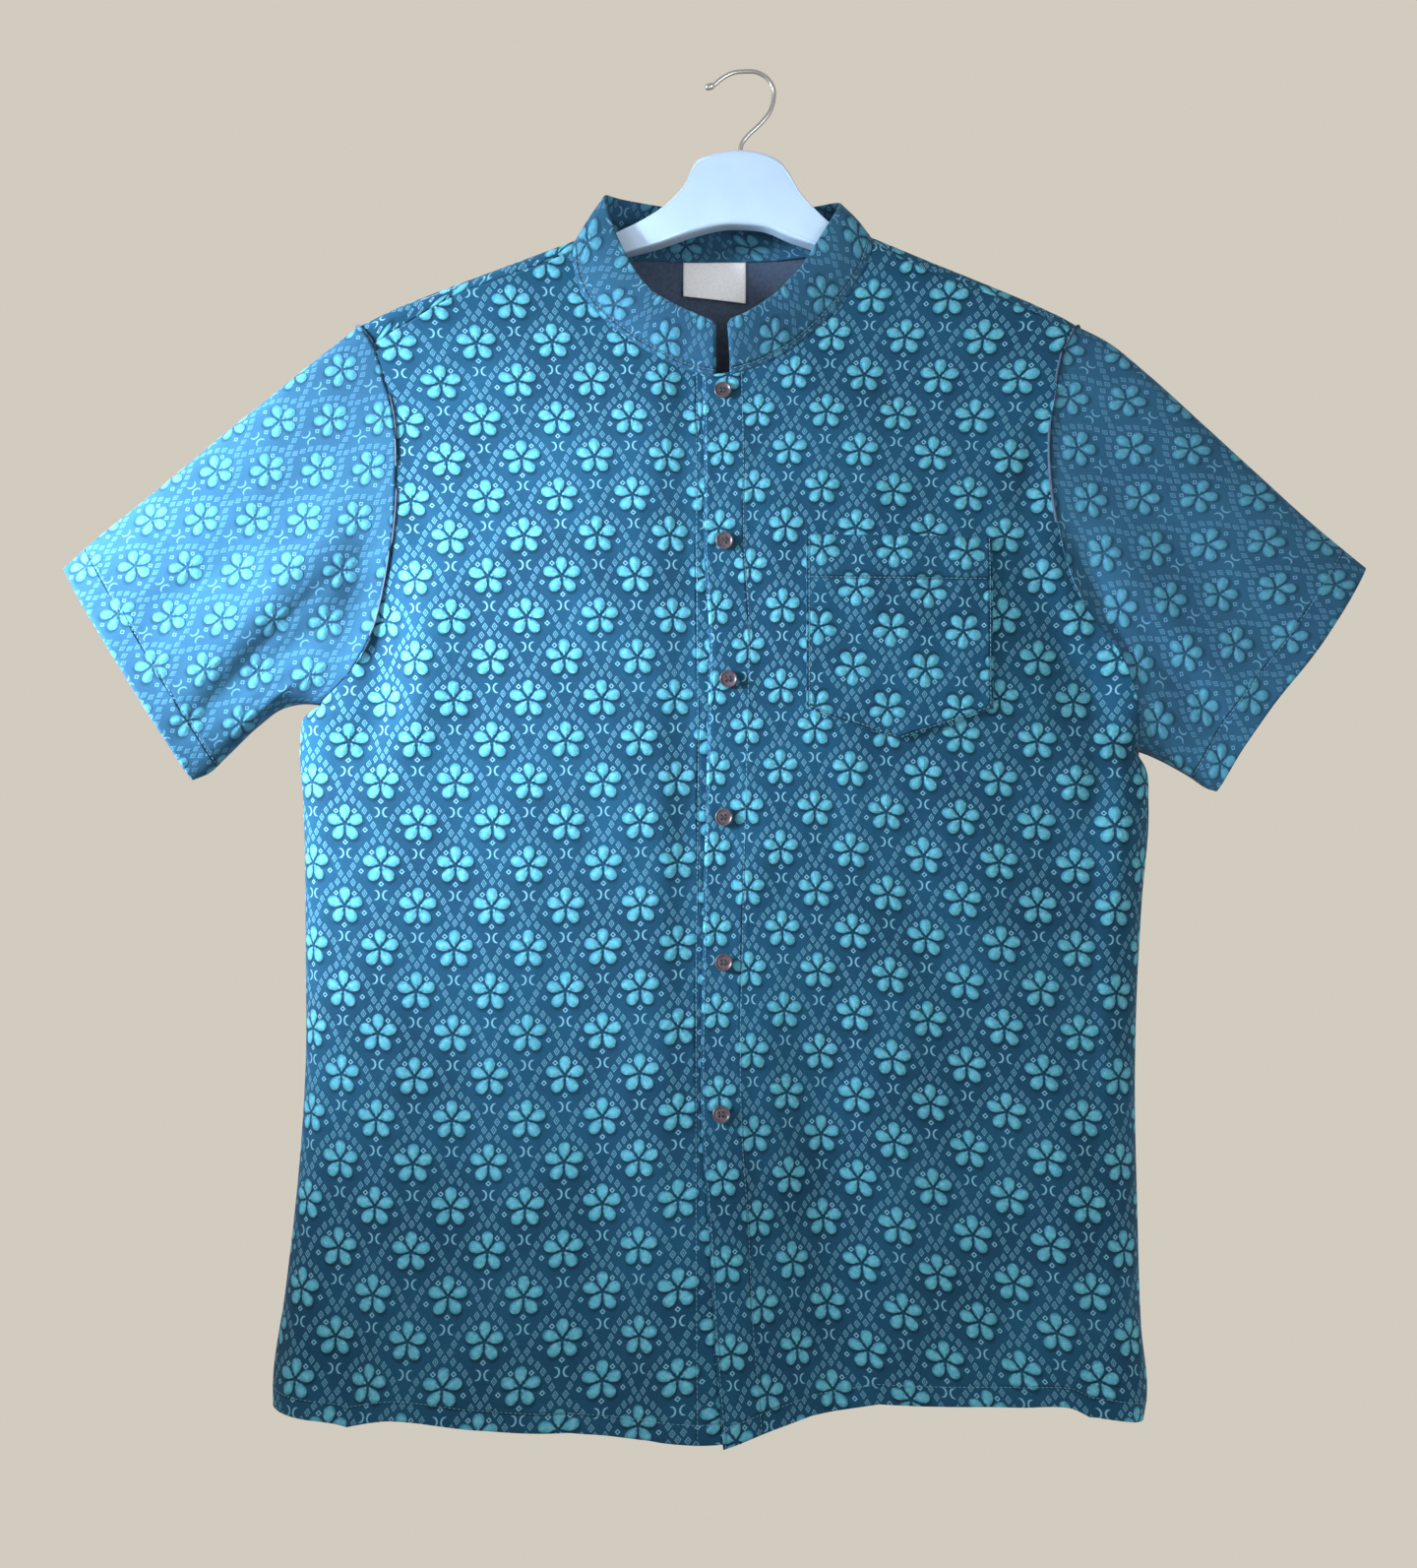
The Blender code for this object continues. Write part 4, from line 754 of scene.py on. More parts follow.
def plainMaterial(name, color, second, roughness, noiseScale, bumpDepth=0.0001, metallic=0.0):
    # one finish with a fine mottling of two tones and a shallow grain
    look = bpy.data.materials.new(name)
    look.use_nodes = True
    board = NodeBoard(look.node_tree)
    shader = look.node_tree.nodes["Principled BSDF"]
    place = board.node("ShaderNodeTexCoord")
    mottling = board.noise(place.outputs["Object"], noiseScale, 4.0)
    tone = board.mix(board.ramp(mottling, 0.3, 0.7), color, second)
    board.link(tone, shader.inputs["Base Color"])
    board.link(board.ramp(mottling, 0.2, 0.8, roughness * 0.9, min(1.0, roughness * 1.1)),
               shader.inputs["Roughness"])
    shader.inputs["Metallic"].default_value = metallic
    bump = board.node("ShaderNodeBump")
    bump.inputs["Strength"].default_value = 0.6
    bump.inputs["Distance"].default_value = bumpDepth
    board.link(mottling, bump.inputs["Height"])
    board.link(bump.outputs[0], shader.inputs["Normal"])
    return look


clothTones = dict(
    ground=linearColor(18, 64, 92), groundDark=linearColor(14, 54, 80), shadow=linearColor(5, 28, 46),
    bead=linearColor(52, 104, 132), beadRim=linearColor(104, 156, 180), arc=linearColor(112, 166, 190),
    petal=linearColor(76, 148, 172), petalEdge=linearColor(42, 106, 132), petalLight=linearColor(108, 172, 188),
)
# sleeves and collar: the same print under a painted bluish sheen, lighter in the ground and lower in contrast
sheenVeiledTones = dict(
    ground=linearColor(34, 76, 104), groundDark=linearColor(30, 68, 96), shadow=linearColor(18, 46, 68),
    bead=linearColor(54, 100, 130), beadRim=linearColor(84, 132, 162), arc=linearColor(92, 142, 170),
    petal=linearColor(66, 126, 152), petalEdge=linearColor(44, 98, 126), petalLight=linearColor(86, 146, 168),
)
lattice = latticeGroup()
rightFrontLook = clothMaterial("printRightFront", lattice, 0.0, (0.0, 0.0), clothTones)
leftFrontLook = clothMaterial("printLeftFront", lattice, 0.0, (0.0, 0.0), clothTones)
backLook = clothMaterial("printBack", lattice, 0.0, (-15.0, -240.0), clothTones)
pocketLook = clothMaterial("printPocket", lattice, math.pi, (0.0, 0.0), clothTones)
# the collar and sleeves take the tones with the painted sheen laid over the print
collarLook = clothMaterial("printCollar", lattice, math.pi, (10.0, -10.0), sheenVeiledTones)
sleeveLook = clothMaterial("printSleeves", lattice, 0.0, (0.0, 0.0), sheenVeiledTones)
insideLook = plainMaterial("clothWrongSide", linearColor(58, 74, 98), linearColor(50, 66, 90),
                           0.9, 420.0, 0.0002)
threadLook = plainMaterial("sewingThread", linearColor(86, 142, 166), linearColor(64, 116, 142), 0.7, 900.0)
print("stage: materials")


# fronts

frontPiece = dict(neckColumns=44, shoulderColumns=76, armholeRows=110, sideRows=160, wall=1.5, evenings=24,
                  edgeStitch=1.8, placketStitch={"left": 26.0, "right": 27.0}, hemStitch=12.5,
                  seenBelow=0.09, seenAcross=(0.02, 0.84), middle=(130, 40))


def frontCloth(sideName):
    # a patch between neck and shoulder, armhole and side, front edge and hem, laid over the form
    side = sides[sideName]
    share = seams["neckShare"]
    across = np.concatenate([np.linspace(0, share, frontPiece["neckColumns"] + 1),
                             share + (1 - share) * easeOut(frontPiece["shoulderColumns"])[1:]])
    down = np.concatenate([np.linspace(0, seams["armholeShare"], frontPiece["armholeRows"] + 1),
                           np.linspace(seams["armholeShare"], 1, frontPiece["sideRows"] + 1)[1:]])
    top = joinedCurve(withRun(side["neck"]), withRun(side["shoulder"]), share, across)
    outer = joinedCurve(withRun(side["armhole"]), withRun(side["side"]), seams["armholeShare"], down)
    edge = splineThrough(withRun(side["frontEdge"]), down)
    hem = splineThrough(withRun(side["hem"]), across)
    places = filledPatch(top, hem, edge, outer, across, down)
    for _ in range(frontPiece["evenings"]):
        # evens out the grid under the neck's corner, where it would fold over itself
        places[1:-1, 1:-1] = (places[:-2, 1:-1] + places[2:, 1:-1] + places[1:-1, :-2] + places[1:-1, 2:]) / 4
    closing = closingByRow(outer, armholeOpening(outer, side), places[..., 0])
    grid = clothPlaces(places, "front", closing)
    if sideName == "right":
        grid[..., 1] += overlap["depth"] * smoothStep(grid[..., 0], overlap["start"], overlap["end"])
    grid[..., 1] -= kickDepth(grid[..., 0], grid[..., 2])
    flat = printPlaces(grid, places, "front", side["frontEdge"][0][0])
    fromShare, toShare = frontPiece["seenAcross"]
    seen = (down[:, None] > frontPiece["seenBelow"]) & (across[None] < toShare) & (across[None] > fromShare)
    flat = settledPrint(flat, grid, "front" + sideName.capitalize(), seen)
    drawnBack(grid, "top", seams["gap"] / 2)
    drawnBack(grid, "end", seams["gap"] / 2)
    return grid, flat


frontGrids = {}
for sideName, look in (("right", rightFrontLook), ("left", leftFrontLook)):
    grid, flat = frontCloth(sideName)
    frontGrids[sideName] = grid
    outward = facing(gridNormals(grid), *frontPiece["middle"], -1)
    across, rising = rowLengths(grid), columnLengths(grid)
    seamLine = np.abs(rising - frontPiece["hemStitch"])
    for at in (frontPiece["placketStitch"][sideName], frontPiece["edgeStitch"]):
        seamLine = np.minimum(seamLine, np.abs(across - at))
        lineAcross(grid, outward, across, at)
    lineDown(grid, outward, rising, frontPiece["hemStitch"])
    piece = addCloth("front%sCloth" % sideName.capitalize(), grid, flat, look, insideLook,
                     frontPiece["wall"], -1, seamLine)
    declareSheet("front_" + sideName)
print("stage: fronts")


# back, from the shoulder seams in front of the crest over it and down

backPiece = dict(shoulderColumns=60, napeColumns=60, turnRows=16, armholeRows=80, sideRows=130, wall=1.5,
                 hemStitch=12.5, hemMiddle=[(-38.0, -874.0), (8.0, -872.0)], printStart=-15.0, middle=(150, 90))


def backRows():
    # shares down the back: over the crest, behind it, along the armhole and down the side
    share, crest = seams["armholeShare"], seams["crestShare"]
    over = np.linspace(0, crest, backPiece["turnRows"] + 1)
    behind = np.linspace(crest, 2 * crest, backPiece["turnRows"] + 1)[1:]
    armhole = np.linspace(2 * crest, share, backPiece["armholeRows"])[1:]
    return np.concatenate([over, behind, armhole, np.linspace(share, 1, backPiece["sideRows"] + 1)[1:]])


def backEdge(side, down):
    # the side border: the shoulder seam's end, over the crest, then the armhole and the side
    crest = seams["crestShare"]
    seamEnd = mirroredRun(withRun(side["armhole"][:1]))
    tip = withRun(side["sleeveTop"][:1])
    armhole = np.vstack([tip, withRun(side["armholeBack"])])
    over = seamEnd + (tip - seamEnd) * (down / crest)[:, None]
    behind = joinedCurve(armhole, withRun(side["side"]), (seams["armholeShare"] - crest) / (1 - crest),
                         np.maximum(down - crest, 0) / (1 - crest))
    return np.where(down[:, None] <= crest, over, behind)


def backCloth():
    # a patch between shoulder seams and nape, both sides and the hem, laid over the form
    start, end = seams["backNeckFrom"], seams["backNeckTo"]
    shoulder = start * (1 - easeOut(backPiece["shoulderColumns"])[::-1])
    across = np.concatenate([shoulder, (start + (end - start) * easeBoth(backPiece["napeColumns"]))[1:],
                             1 - shoulder[::-1][1:]])
    down = backRows()
    right, left = sides["right"], sides["left"]
    rightSeam = mirroredRun(withRun(right["shoulder"]))[::-1]
    leftSeam = mirroredRun(withRun(left["shoulder"]))
    napeLine = np.stack([nape["x"], nape["run"]], axis=1)
    napeLine[0], napeLine[-1] = rightSeam[-1], leftSeam[0]
    top = splineThrough(napeLine, (across - start) / (end - start))
    top[across < start] = splineThrough(rightSeam, across[across < start] / start)
    top[across > end] = splineThrough(leftSeam, (across[across > end] - end) / (1 - end))
    hemLine = right["hem"][::-1][:-2] + backPiece["hemMiddle"] + left["hem"][2:]
    hem = splineThrough(withRun(hemLine), across)
    first, last = backEdge(right, down), backEdge(left, down)
    places = filledPatch(top, hem, first, last, across, down)
    closing = (closingByRow(first, armholeOpening(first, right), places[..., 0])
               * closingByRow(last, armholeOpening(last, left), places[..., 0]))
    grid = clothPlaces(places, "back", closing)
    flat = printPlaces(grid, places, "back", backPiece["printStart"])
    for edge in ("top", "start", "end"):
        drawnBack(grid, edge, seams["gap"] / 2)
    return grid, flat


backGrid, backFlat = backCloth()
backOut = facing(gridNormals(backGrid), *backPiece["middle"], 1)
backRise = columnLengths(backGrid)
lineDown(backGrid, backOut, backRise, backPiece["hemStitch"])
backCover = addCloth("backCloth", backGrid, backFlat, backLook, insideLook, backPiece["wall"], 1,
                     np.abs(backRise - backPiece["hemStitch"]))
declareSheet("back")
print("stage: back")


# sleeves

sleevePiece = dict(rows=76, wall=1.5, cuffDepth=21.0, cuffRoundness=0.6, easing=1.3, hemStitch=20.0,
                   trough=3.4, troughAt=0.1, troughWidth=0.08, troughPower=1.5, troughFrom=(0.25, 0.7),
                   creaseMiddle=0.4, creaseFade=(0.8, 0.1), seenRows=slice(4, -2), seenMargin=8, middleRow=40)
sleeveCreases = [  # share around, slant, width, depth
    (0.30, 0.25, 0.10, -3.0), (0.55, 0.35, 0.08, 2.5), (0.75, 0.15, 0.07, -3.0),
    (0.42, -0.2, 0.035, -1.0), (0.66, 0.3, 0.03, -1.2), (0.86, 0.1, 0.03, -1.6), (0.18, 0.12, 0.035, -0.8),
    (0.92, 0.25, 0.025, 1.4)]
sleevePrint = {  # direction of the print's up on each sleeve
    "right": dict(upAngle=36.0, origin=(-320.0, -297.0)),
    "left": dict(upAngle=143.0, origin=(296.0, -285.0)),
}


def armholeLine(sideName, face):
    # the line where a sleeve starts, from the crest down to the under seam
    side = sides[sideName]
    down = backRows()
    behind = backEdge(side, down)
    crestRow, footRow = backPiece["turnRows"], 2 * backPiece["turnRows"] + backPiece["armholeRows"] - 1
    if face == "back":
        return behind[crestRow:footRow + 1]
    over = mirroredRun(behind[:crestRow + 1])[::-1]
    rows = np.linspace(0, seams["armholeShare"], frontPiece["armholeRows"] + 1)
    front = joinedCurve(withRun(side["armhole"]), withRun(side["side"]), seams["armholeShare"], rows)
    return np.vstack([over, front[1:]])


def sleeveHalf(sideName, face, out):
    # from the armhole's line to the cuff's, with the depth easing into a flat oval
    side = sides[sideName]
    head = armholeLine(sideName, face)
    openShare = armholeOpening(head, side)
    root = clothPlaces(head, face, openShare)
    around = np.concatenate([[0.0], np.cumsum(np.linalg.norm(np.diff(root[:, [0, 2]], axis=0), axis=1))])
    around /= around[-1]
    top = splineThrough(side["sleeveTop"], out)
    under = splineThrough(side["sleeveUnder"], out)
    cuff = splineThrough(side["cuff"], around)
    flat = filledPatch(root[:, [0, 2]], cuff, top, under, around, out)
    way = 1.0 if face == "back" else -1.0
    arch = np.maximum(np.sin(math.pi * around), 0)
    cuffY = way * sleevePiece["cuffDepth"] * arch ** sleevePiece["cuffRoundness"]
    blend = (1 - (1 - out) ** sleevePiece["easing"])[:, None]
    folds = np.zeros((len(out), len(around)))
    fromMiddle = out[:, None] - sleevePiece["creaseMiddle"]
    for at, slant, width, depth in sleeveCreases:
        folds += depth * np.exp(-((around[None] - at - slant * fromMiddle) / width) ** 2)
    rate, start = sleevePiece["creaseFade"]
    folds *= arch[None] * np.sin(math.pi * np.clip(out * rate + start, 0, 1))[:, None]
    # a trough just outside the armhole, where the sleeve hangs off the shoulder
    low = arch ** sleevePiece["troughPower"] * smoothStep(around, *sleevePiece["troughFrom"])
    trough = sleevePiece["trough"] * low[None]
    folds -= trough * np.exp(-((out - sleevePiece["troughAt"]) / sleevePiece["troughWidth"]) ** 2)[:, None]
    y = (1 - blend) * root[None, :, 1] + blend * cuffY[None] + way * folds
    return np.stack([flat[..., 0], y, flat[..., 1]], axis=-1)


def sleevePrintPlaces(grid, sideName, frontCount):
    # turned to the sleeve's own direction, plus the extra cloth where the tube rounds over
    upAngle = math.radians(sleevePrint[sideName]["upAngle"])
    up = np.array([math.cos(upAngle), math.sin(upAngle)])
    across = np.array([up[1], -up[0]])
    origin = np.array(sleevePrint[sideName]["origin"])
    plane = grid[..., [0, 2]] - origin
    level = plane @ across
    steps = np.diff(level, axis=1)
    true = np.sign(steps) * np.hypot(steps, np.diff(grid[..., 1], axis=1))
    middle = frontCount // 2
    # behind, the cloth goes on round the tube in the same direction
    true[:, frontCount - 1:] = np.sign(true[:, middle, None]) * np.abs(true[:, frontCount - 1:])
    running = np.concatenate([np.zeros((len(grid), 1)), np.cumsum(true, axis=1)], axis=1)
    running += (level[:, middle] - running[:, middle])[:, None]
    return np.stack([running, plane @ up], axis=-1)


def addSleeve(sideName):
    # front and back halves joined into one tube
    out = np.linspace(0, 1, sleevePiece["rows"] + 1)
    front, back = sleeveHalf(sideName, "front", out), sleeveHalf(sideName, "back", out)
    # the ring starts and ends on the under seam, where the print breaks
    ring = np.concatenate([front[:, ::-1], back[:, 1:]], axis=1)
    frontCount = front.shape[1]
    flat = sleevePrintPlaces(ring, sideName, frontCount)
    seen = np.zeros(ring.shape[:2], bool)
    margin = frontCount // sleevePiece["seenMargin"]
    seen[sleevePiece["seenRows"], margin:frontCount - margin] = True
    flat = settledPrint(flat, ring, "sleeve" + sideName.capitalize(), seen)
    drawnBack(ring, "top", seams["gap"] / 2)
    outward = facing(gridNormals(ring), sleevePiece["middleRow"], frontCount // 2, -1)
    fromCuff = columnLengths(ring)
    seamLine = np.abs(fromCuff - sleevePiece["hemStitch"])
    lineDown(ring, outward, fromCuff, sleevePiece["hemStitch"])
    piece = addCloth("sleeve%sCloth" % sideName.capitalize(), ring, flat, sleeveLook, insideLook,
                     sleevePiece["wall"], -1, seamLine, slice(frontCount))
    declareSheet("sleeve_" + sideName)


for sideName in ("right", "left"):
    addSleeve(sideName)
print("stage: sleeves")


# collar: a stand of two layers that follows the neck seam, open at the front

collarPiece = dict(
    rows=16, lap=2.2, insideLap=2.6, wallTop=2.0, wallFoot=3.8, thinFrom=0.3, proud=1.0, bow=1.6,
    cornerRound=5.0, cornerDrop=2.0, topPasses=5, outwardPasses=6, footStitch=1.9,
    share=[0.0, 0.075, 0.15, 0.205, 0.25, 0.278, 0.305, 0.35, 0.41, 0.56, 0.66, 0.70, 0.73, 0.77, 0.83,
           0.90, 0.96, 1.0],
    x=[-19.0, -44.0, -61.0, -74.0, -84.0, -90.0, -94.0, -86.0, -58.0, -6.0, 45.0, 64.5, 60.5, 52.5, 37.5,
       20.0, 2.0, -12.0],
    y=[-26.5, -25.5, -23.5, -20.5, -16.5, -13.0, -2.0, 13.0, 21.0, 27.0, 21.0, 4.0, -11.0, -15.5, -19.0,
       -23.5, -27.0, -28.0],
    z=[-171.5, -160.5, -150.5, -134.0, -113.5, -97.0, -80.0, -79.0, -81.5, -87.0, -82.5, -83.5, -94.0, -107.5,
       -132.5, -152.0, -164.5, -170.5],
)


def neckSeam():
    # the line of points along the neck: right front, back, left front
    right, left, behind = frontGrids["right"][0], frontGrids["left"][0], backGrid[0]
    rightEnd, leftEnd = sides["right"]["shoulder"][0][0], sides["left"]["shoulder"][0][0]
    right = right[:frontPiece["neckColumns"]]
    right = right[right[:, 0] <= collarPiece["x"][0]]
    left = left[:frontPiece["neckColumns"]]
    left = left[left[:, 0] >= collarPiece["x"][-1]][::-1]
    behind = behind[(behind[:, 0] > rightEnd - 0.5) & (behind[:, 0] < leftEnd + 0.5)]
    return np.vstack([right, behind, left])


def addCollar():
    # the band's section, a loop of two layers, carried along the seam and stretched to the upper edge
    foot = neckSeam()
    shares = lengthsAlong(foot)
    length = shares[-1]
    shares /= length
    topPoints = np.stack([collarPiece[axis] for axis in ("x", "y", "z")], axis=1)
    top = np.stack([np.interp(shares, collarPiece["share"], topPoints[:, axis]) for axis in range(3)], axis=1)
    for _ in range(collarPiece["topPasses"]):
        top[1:-1] = (top[:-2] + 2 * top[1:-1] + top[2:]) / 4
    rise = top - foot
    height = np.linalg.norm(rise, axis=1)
    up = unit(rise)
    outward = unit(np.cross(unit(np.gradient(foot, axis=0)), up))
    for _ in range(collarPiece["outwardPasses"]):
        outward[1:-1] = unit(outward[:-2] + 2 * outward[1:-1] + outward[2:])
    outward = outward * np.sign(outward[len(foot) // 2, 1])
    corner = quarterRound(np.minimum(shares, 1 - shares) * length, collarPiece["cornerRound"])
    height = height - collarPiece["cornerDrop"] * (1 - corner)
    layer = np.linspace(0, 1, collarPiece["rows"] + 1)
    outer = collarPiece["proud"] + collarPiece["bow"] * np.sin(math.pi * layer)
    extraFoot = collarPiece["wallFoot"] - collarPiece["wallTop"]
    thick = collarPiece["wallTop"] + extraFoot * (1 - smoothStep(layer, 0, collarPiece["thinFrom"]))
    lap, deepLap = collarPiece["lap"], collarPiece["insideLap"]
    # each point of the section: share of the height, length above that, length off the seam
    outerFoot = [(0.0, -lap, 0.3), (0.0, -lap * 0.8, collarPiece["proud"])]
    outerLayer = list(zip(layer, 0 * layer, outer))
    upperEdge = [(1.0, 0.5, 0.7), (1.0, 0.8, 0.0), (1.0, 0.5, -0.7)]
    innerLayer = list(zip(layer[::-1], 0 * layer, (outer - thick)[::-1]))
    innerFoot = [(0.0, -2.0, -2.9), (0.0, -deepLap, -2.9), (0.0, -deepLap, -2.3)]
    section = np.array(outerFoot + outerLayer + upperEdge + innerLayer + innerFoot)
    rising = height[:, None] * section[None, :, 0] + section[None, :, 1]
    grid = foot[:, None] + up[:, None] * rising[..., None] + outward[:, None] * section[None, :, 2, None]
    flat = np.stack([np.broadcast_to((shares * length)[:, None], rising.shape), rising], axis=-1)
    columns, rows = rising.shape
    faces = gridFaces(columns, rows, closed=True)
    ends = [list(range(rows))[::-1], list(range((columns - 1) * rows, columns * rows))]
    middle = columns // 2
    if faceSign(grid[middle - 20:middle + 20, 2:12]) < 0:  # the outer layer at the nape faces +Y
        faces, ends = faces[:, ::-1], [end[::-1] for end in ends]
    onOuter = np.arange(rows)[None] < collarPiece["rows"] + 3
    line = np.where(onOuter, np.abs(rising - collarPiece["footStitch"]), 9.0)
    piece = meshObject("collarBand", grid.reshape(-1, 3), faces.tolist() + ends, flat.reshape(-1, 2), line)
    piece.data.materials.append(collarLook)
    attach(piece, "root")
    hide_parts("collar")
    keepLine(foot + up * collarPiece["footStitch"] + outward * (collarPiece["proud"] + 0.3), outward)


addCollar()
print("stage: collar")


# pocket

pocketPiece = dict(left=38.0, right=158.0, top=-310.5, sideFoot=-421.0, pointX=97.5, pointZ=-441.0,
                   gap=0.8, wall=1.2, columns=84, rows=90, edgeStitch=1.7, hemStitch=27.0,
                   stitchRise=0.1, stitchPoints=60)


def onLeftFront(x, z, movedOut):
    # places on the left front's form, moved out from it
    places = withRun(np.stack([np.ravel(x), np.ravel(z)], axis=1))
    grid = clothPlaces(places, "front", 1.0, movedOut)
    grid[:, 1] -= kickDepth(grid[:, 0], grid[:, 2])
    return grid.reshape(np.shape(x) + (3,))


def pocketCloth():
    # a rectangle with a pointed foot, on the left front's form
    x = np.linspace(pocketPiece["left"], pocketPiece["right"], pocketPiece["columns"] + 1)
    x[np.abs(x - pocketPiece["pointX"]).argmin()] = pocketPiece["pointX"]
    down = np.linspace(0, 1, pocketPiece["rows"] + 1)
    beside = np.where(x < pocketPiece["pointX"], (pocketPiece["pointX"] - x) / (pocketPiece["pointX"] - x[0]),
                      (x - pocketPiece["pointX"]) / (x[-1] - pocketPiece["pointX"]))
    foot = pocketPiece["pointZ"] + (pocketPiece["sideFoot"] - pocketPiece["pointZ"]) * beside
    z = pocketPiece["top"] + (foot[None] - pocketPiece["top"]) * down[:, None]
    xGrid = np.broadcast_to(x, z.shape)
    grid = onLeftFront(xGrid, z, pocketPiece["gap"] + pocketPiece["wall"])
    fromSide = np.minimum(x - x[0], x[-1] - x) + 0 * z
    seamLine = np.abs(np.minimum(fromSide, z - foot) - pocketPiece["edgeStitch"])
    seamLine = np.minimum(seamLine, np.abs(pocketPiece["top"] - z - pocketPiece["hemStitch"]))
    return grid, wantedPrint(grid, "pocket"), seamLine


pocketGrid, pocketFlat, pocketLine = pocketCloth()
pocketPatch = addCloth("pocketPatch", pocketGrid, pocketFlat, pocketLook, insideLook, pocketPiece["wall"], -1,
                       pocketLine)
declareSheet("pocket")
print("stage: pocket")


# the rows of stitches on the pocket, then all of them as one piece

def onPocket(x, z):
    movedOut = pocketPiece["gap"] + pocketPiece["wall"] + pocketPiece["stitchRise"]
    path = onLeftFront(np.asarray(x, float), np.asarray(z, float), movedOut)
    keepLine(path, np.broadcast_to([0.0, -1.0, 0.0], path.shape))


def addPocketStitches():
    inset = pocketPiece["edgeStitch"]
    left, right = pocketPiece["left"] + inset, pocketPiece["right"] - inset
    corners = [(left, pocketPiece["top"]), (left, pocketPiece["sideFoot"] + inset),
               (pocketPiece["pointX"], pocketPiece["pointZ"] + inset), (right, pocketPiece["sideFoot"] + inset),
               (right, pocketPiece["top"])]
    count = pocketPiece["stitchPoints"]
    for first, second in zip(corners[:-1], corners[1:]):
        onPocket(np.linspace(first[0], second[0], count), np.linspace(first[1], second[1], count))
    onPocket(np.linspace(left, right, count), np.full(count, pocketPiece["top"] - pocketPiece["hemStitch"]))


addPocketStitches()
addStitches("seamStitches", threadLook)
print("stage: stitches")


# buttons: turned discs with a raised rim and four holes, sewn on with two bars of thread

buttonPiece = dict(
    x=[-14.8, -13.9, -11.4, -14.3, -14.5, -16.0], z=[-215.2, -314.5, -402.5, -490.0, -581.5, -675.5],
    gap=0.5, reach=8.0, sides=72, rings=150, topRings=60, flatRadius=3.4,
    holeAt=1.25, holeRadius=0.62, holeDepth=1.3, holeEdge=0.1,
    profile=[(0.0, 1.62), (1.7, 1.62), (3.2, 1.66), (4.0, 1.78), (4.4, 2.12), (4.8, 2.38), (5.2, 2.36),
             (5.5, 2.05), (5.6, 1.5), (5.45, 0.8), (5.0, 0.15), (4.2, 0.0), (0.0, 0.0)],
    poleRadius=0.004, threadRadius=0.27, threadFoot=0.9, threadRise=1.14, threadSteps=15, threadSides=8,
)


def placedOnFront(local, x, z):
    # turns a shape made flat, facing +Z, to face out of the cloth at a place
    reach = buttonPiece["reach"]
    above, below = onLeftFront(np.array([x, x]), np.array([z + reach, z - reach]), buttonPiece["gap"])
    turn = math.pi / 2 - math.atan2(above[1] - below[1], 2 * reach)
    middle = (above + below) / 2
    y = local[..., 1] * math.cos(turn) - local[..., 2] * math.sin(turn)
    up = local[..., 1] * math.sin(turn) + local[..., 2] * math.cos(turn)
    return np.stack([local[..., 0] + middle[0], y + middle[1], up + middle[2]], axis=-1).reshape(-1, 3)


def buttonShape():
    # profile turned round, with the top sunk where the four holes are
    profile = splineThrough(buttonPiece["profile"], np.linspace(0, 1, buttonPiece["rings"]))
    profile[0, 0] = profile[-1, 0] = buttonPiece["poleRadius"]
    angles = np.linspace(0, 2 * math.pi, buttonPiece["sides"] + 1)[:-1]
    x, y = profile[:, :1] * np.cos(angles), profile[:, :1] * np.sin(angles)
    onFlat = profile[:, :1] < buttonPiece["flatRadius"]
    onTop = (np.arange(len(profile)) < buttonPiece["topRings"])[:, None] & onFlat
    away = np.hypot(np.abs(x) - buttonPiece["holeAt"], np.abs(y) - buttonPiece["holeAt"])
    edge = buttonPiece["holeEdge"]
    sunk = 1 - smoothStep(away, buttonPiece["holeRadius"] - edge, buttonPiece["holeRadius"] + edge)
    z = profile[:, 1:] - np.where(onTop, buttonPiece["holeDepth"] * sunk, 0.0)
    return np.stack([x, y, z], axis=-1)


def threadShape(x):
    # a bar of thread: a round section carried along an arch of one minus a fourth power
    t = np.linspace(-1, 1, buttonPiece["threadSteps"])
    path = np.stack([np.full_like(t, x), t * buttonPiece["holeAt"],
                     buttonPiece["threadFoot"] + buttonPiece["threadRise"] * (1 - t**4)], axis=1)
    side = np.array([1.0, 0.0, 0.0])
    up = np.cross(side, unit(np.gradient(path, axis=0)))
    angles = np.linspace(0, 2 * math.pi, buttonPiece["threadSides"] + 1)[:-1][None, :, None]
    return path[:, None] + buttonPiece["threadRadius"] * (side * np.cos(angles) + up[:, None] * np.sin(angles))


def closedFaces(rings, flipped):
    # a tube's faces with both ends closed
    rows, columns = rings.shape[:2]
    faces = gridFaces(rows, columns, closed=True)
    caps = [list(range(columns))[::-1], list(range((rows - 1) * columns, rows * columns))]
    if flipped:
        faces, caps = faces[:, ::-1], [cap[::-1] for cap in caps]
    return faces.tolist() + caps


def ringFacesIn(rings):
    # whether the faces made from these rings would face inwards
    row = len(rings) // 2
    a, b, d = rings[row, 0], rings[row, 1], rings[row + 1, 0]
    return np.dot(np.cross(b - a, d - a), a - rings[row].mean(axis=0)) < 0


def addHard(name, places, faces, look, node=None):
    piece = meshObject(name, places, faces)
    piece.data.materials.append(look)
    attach(piece, "root")
    if node:
        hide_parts(node)


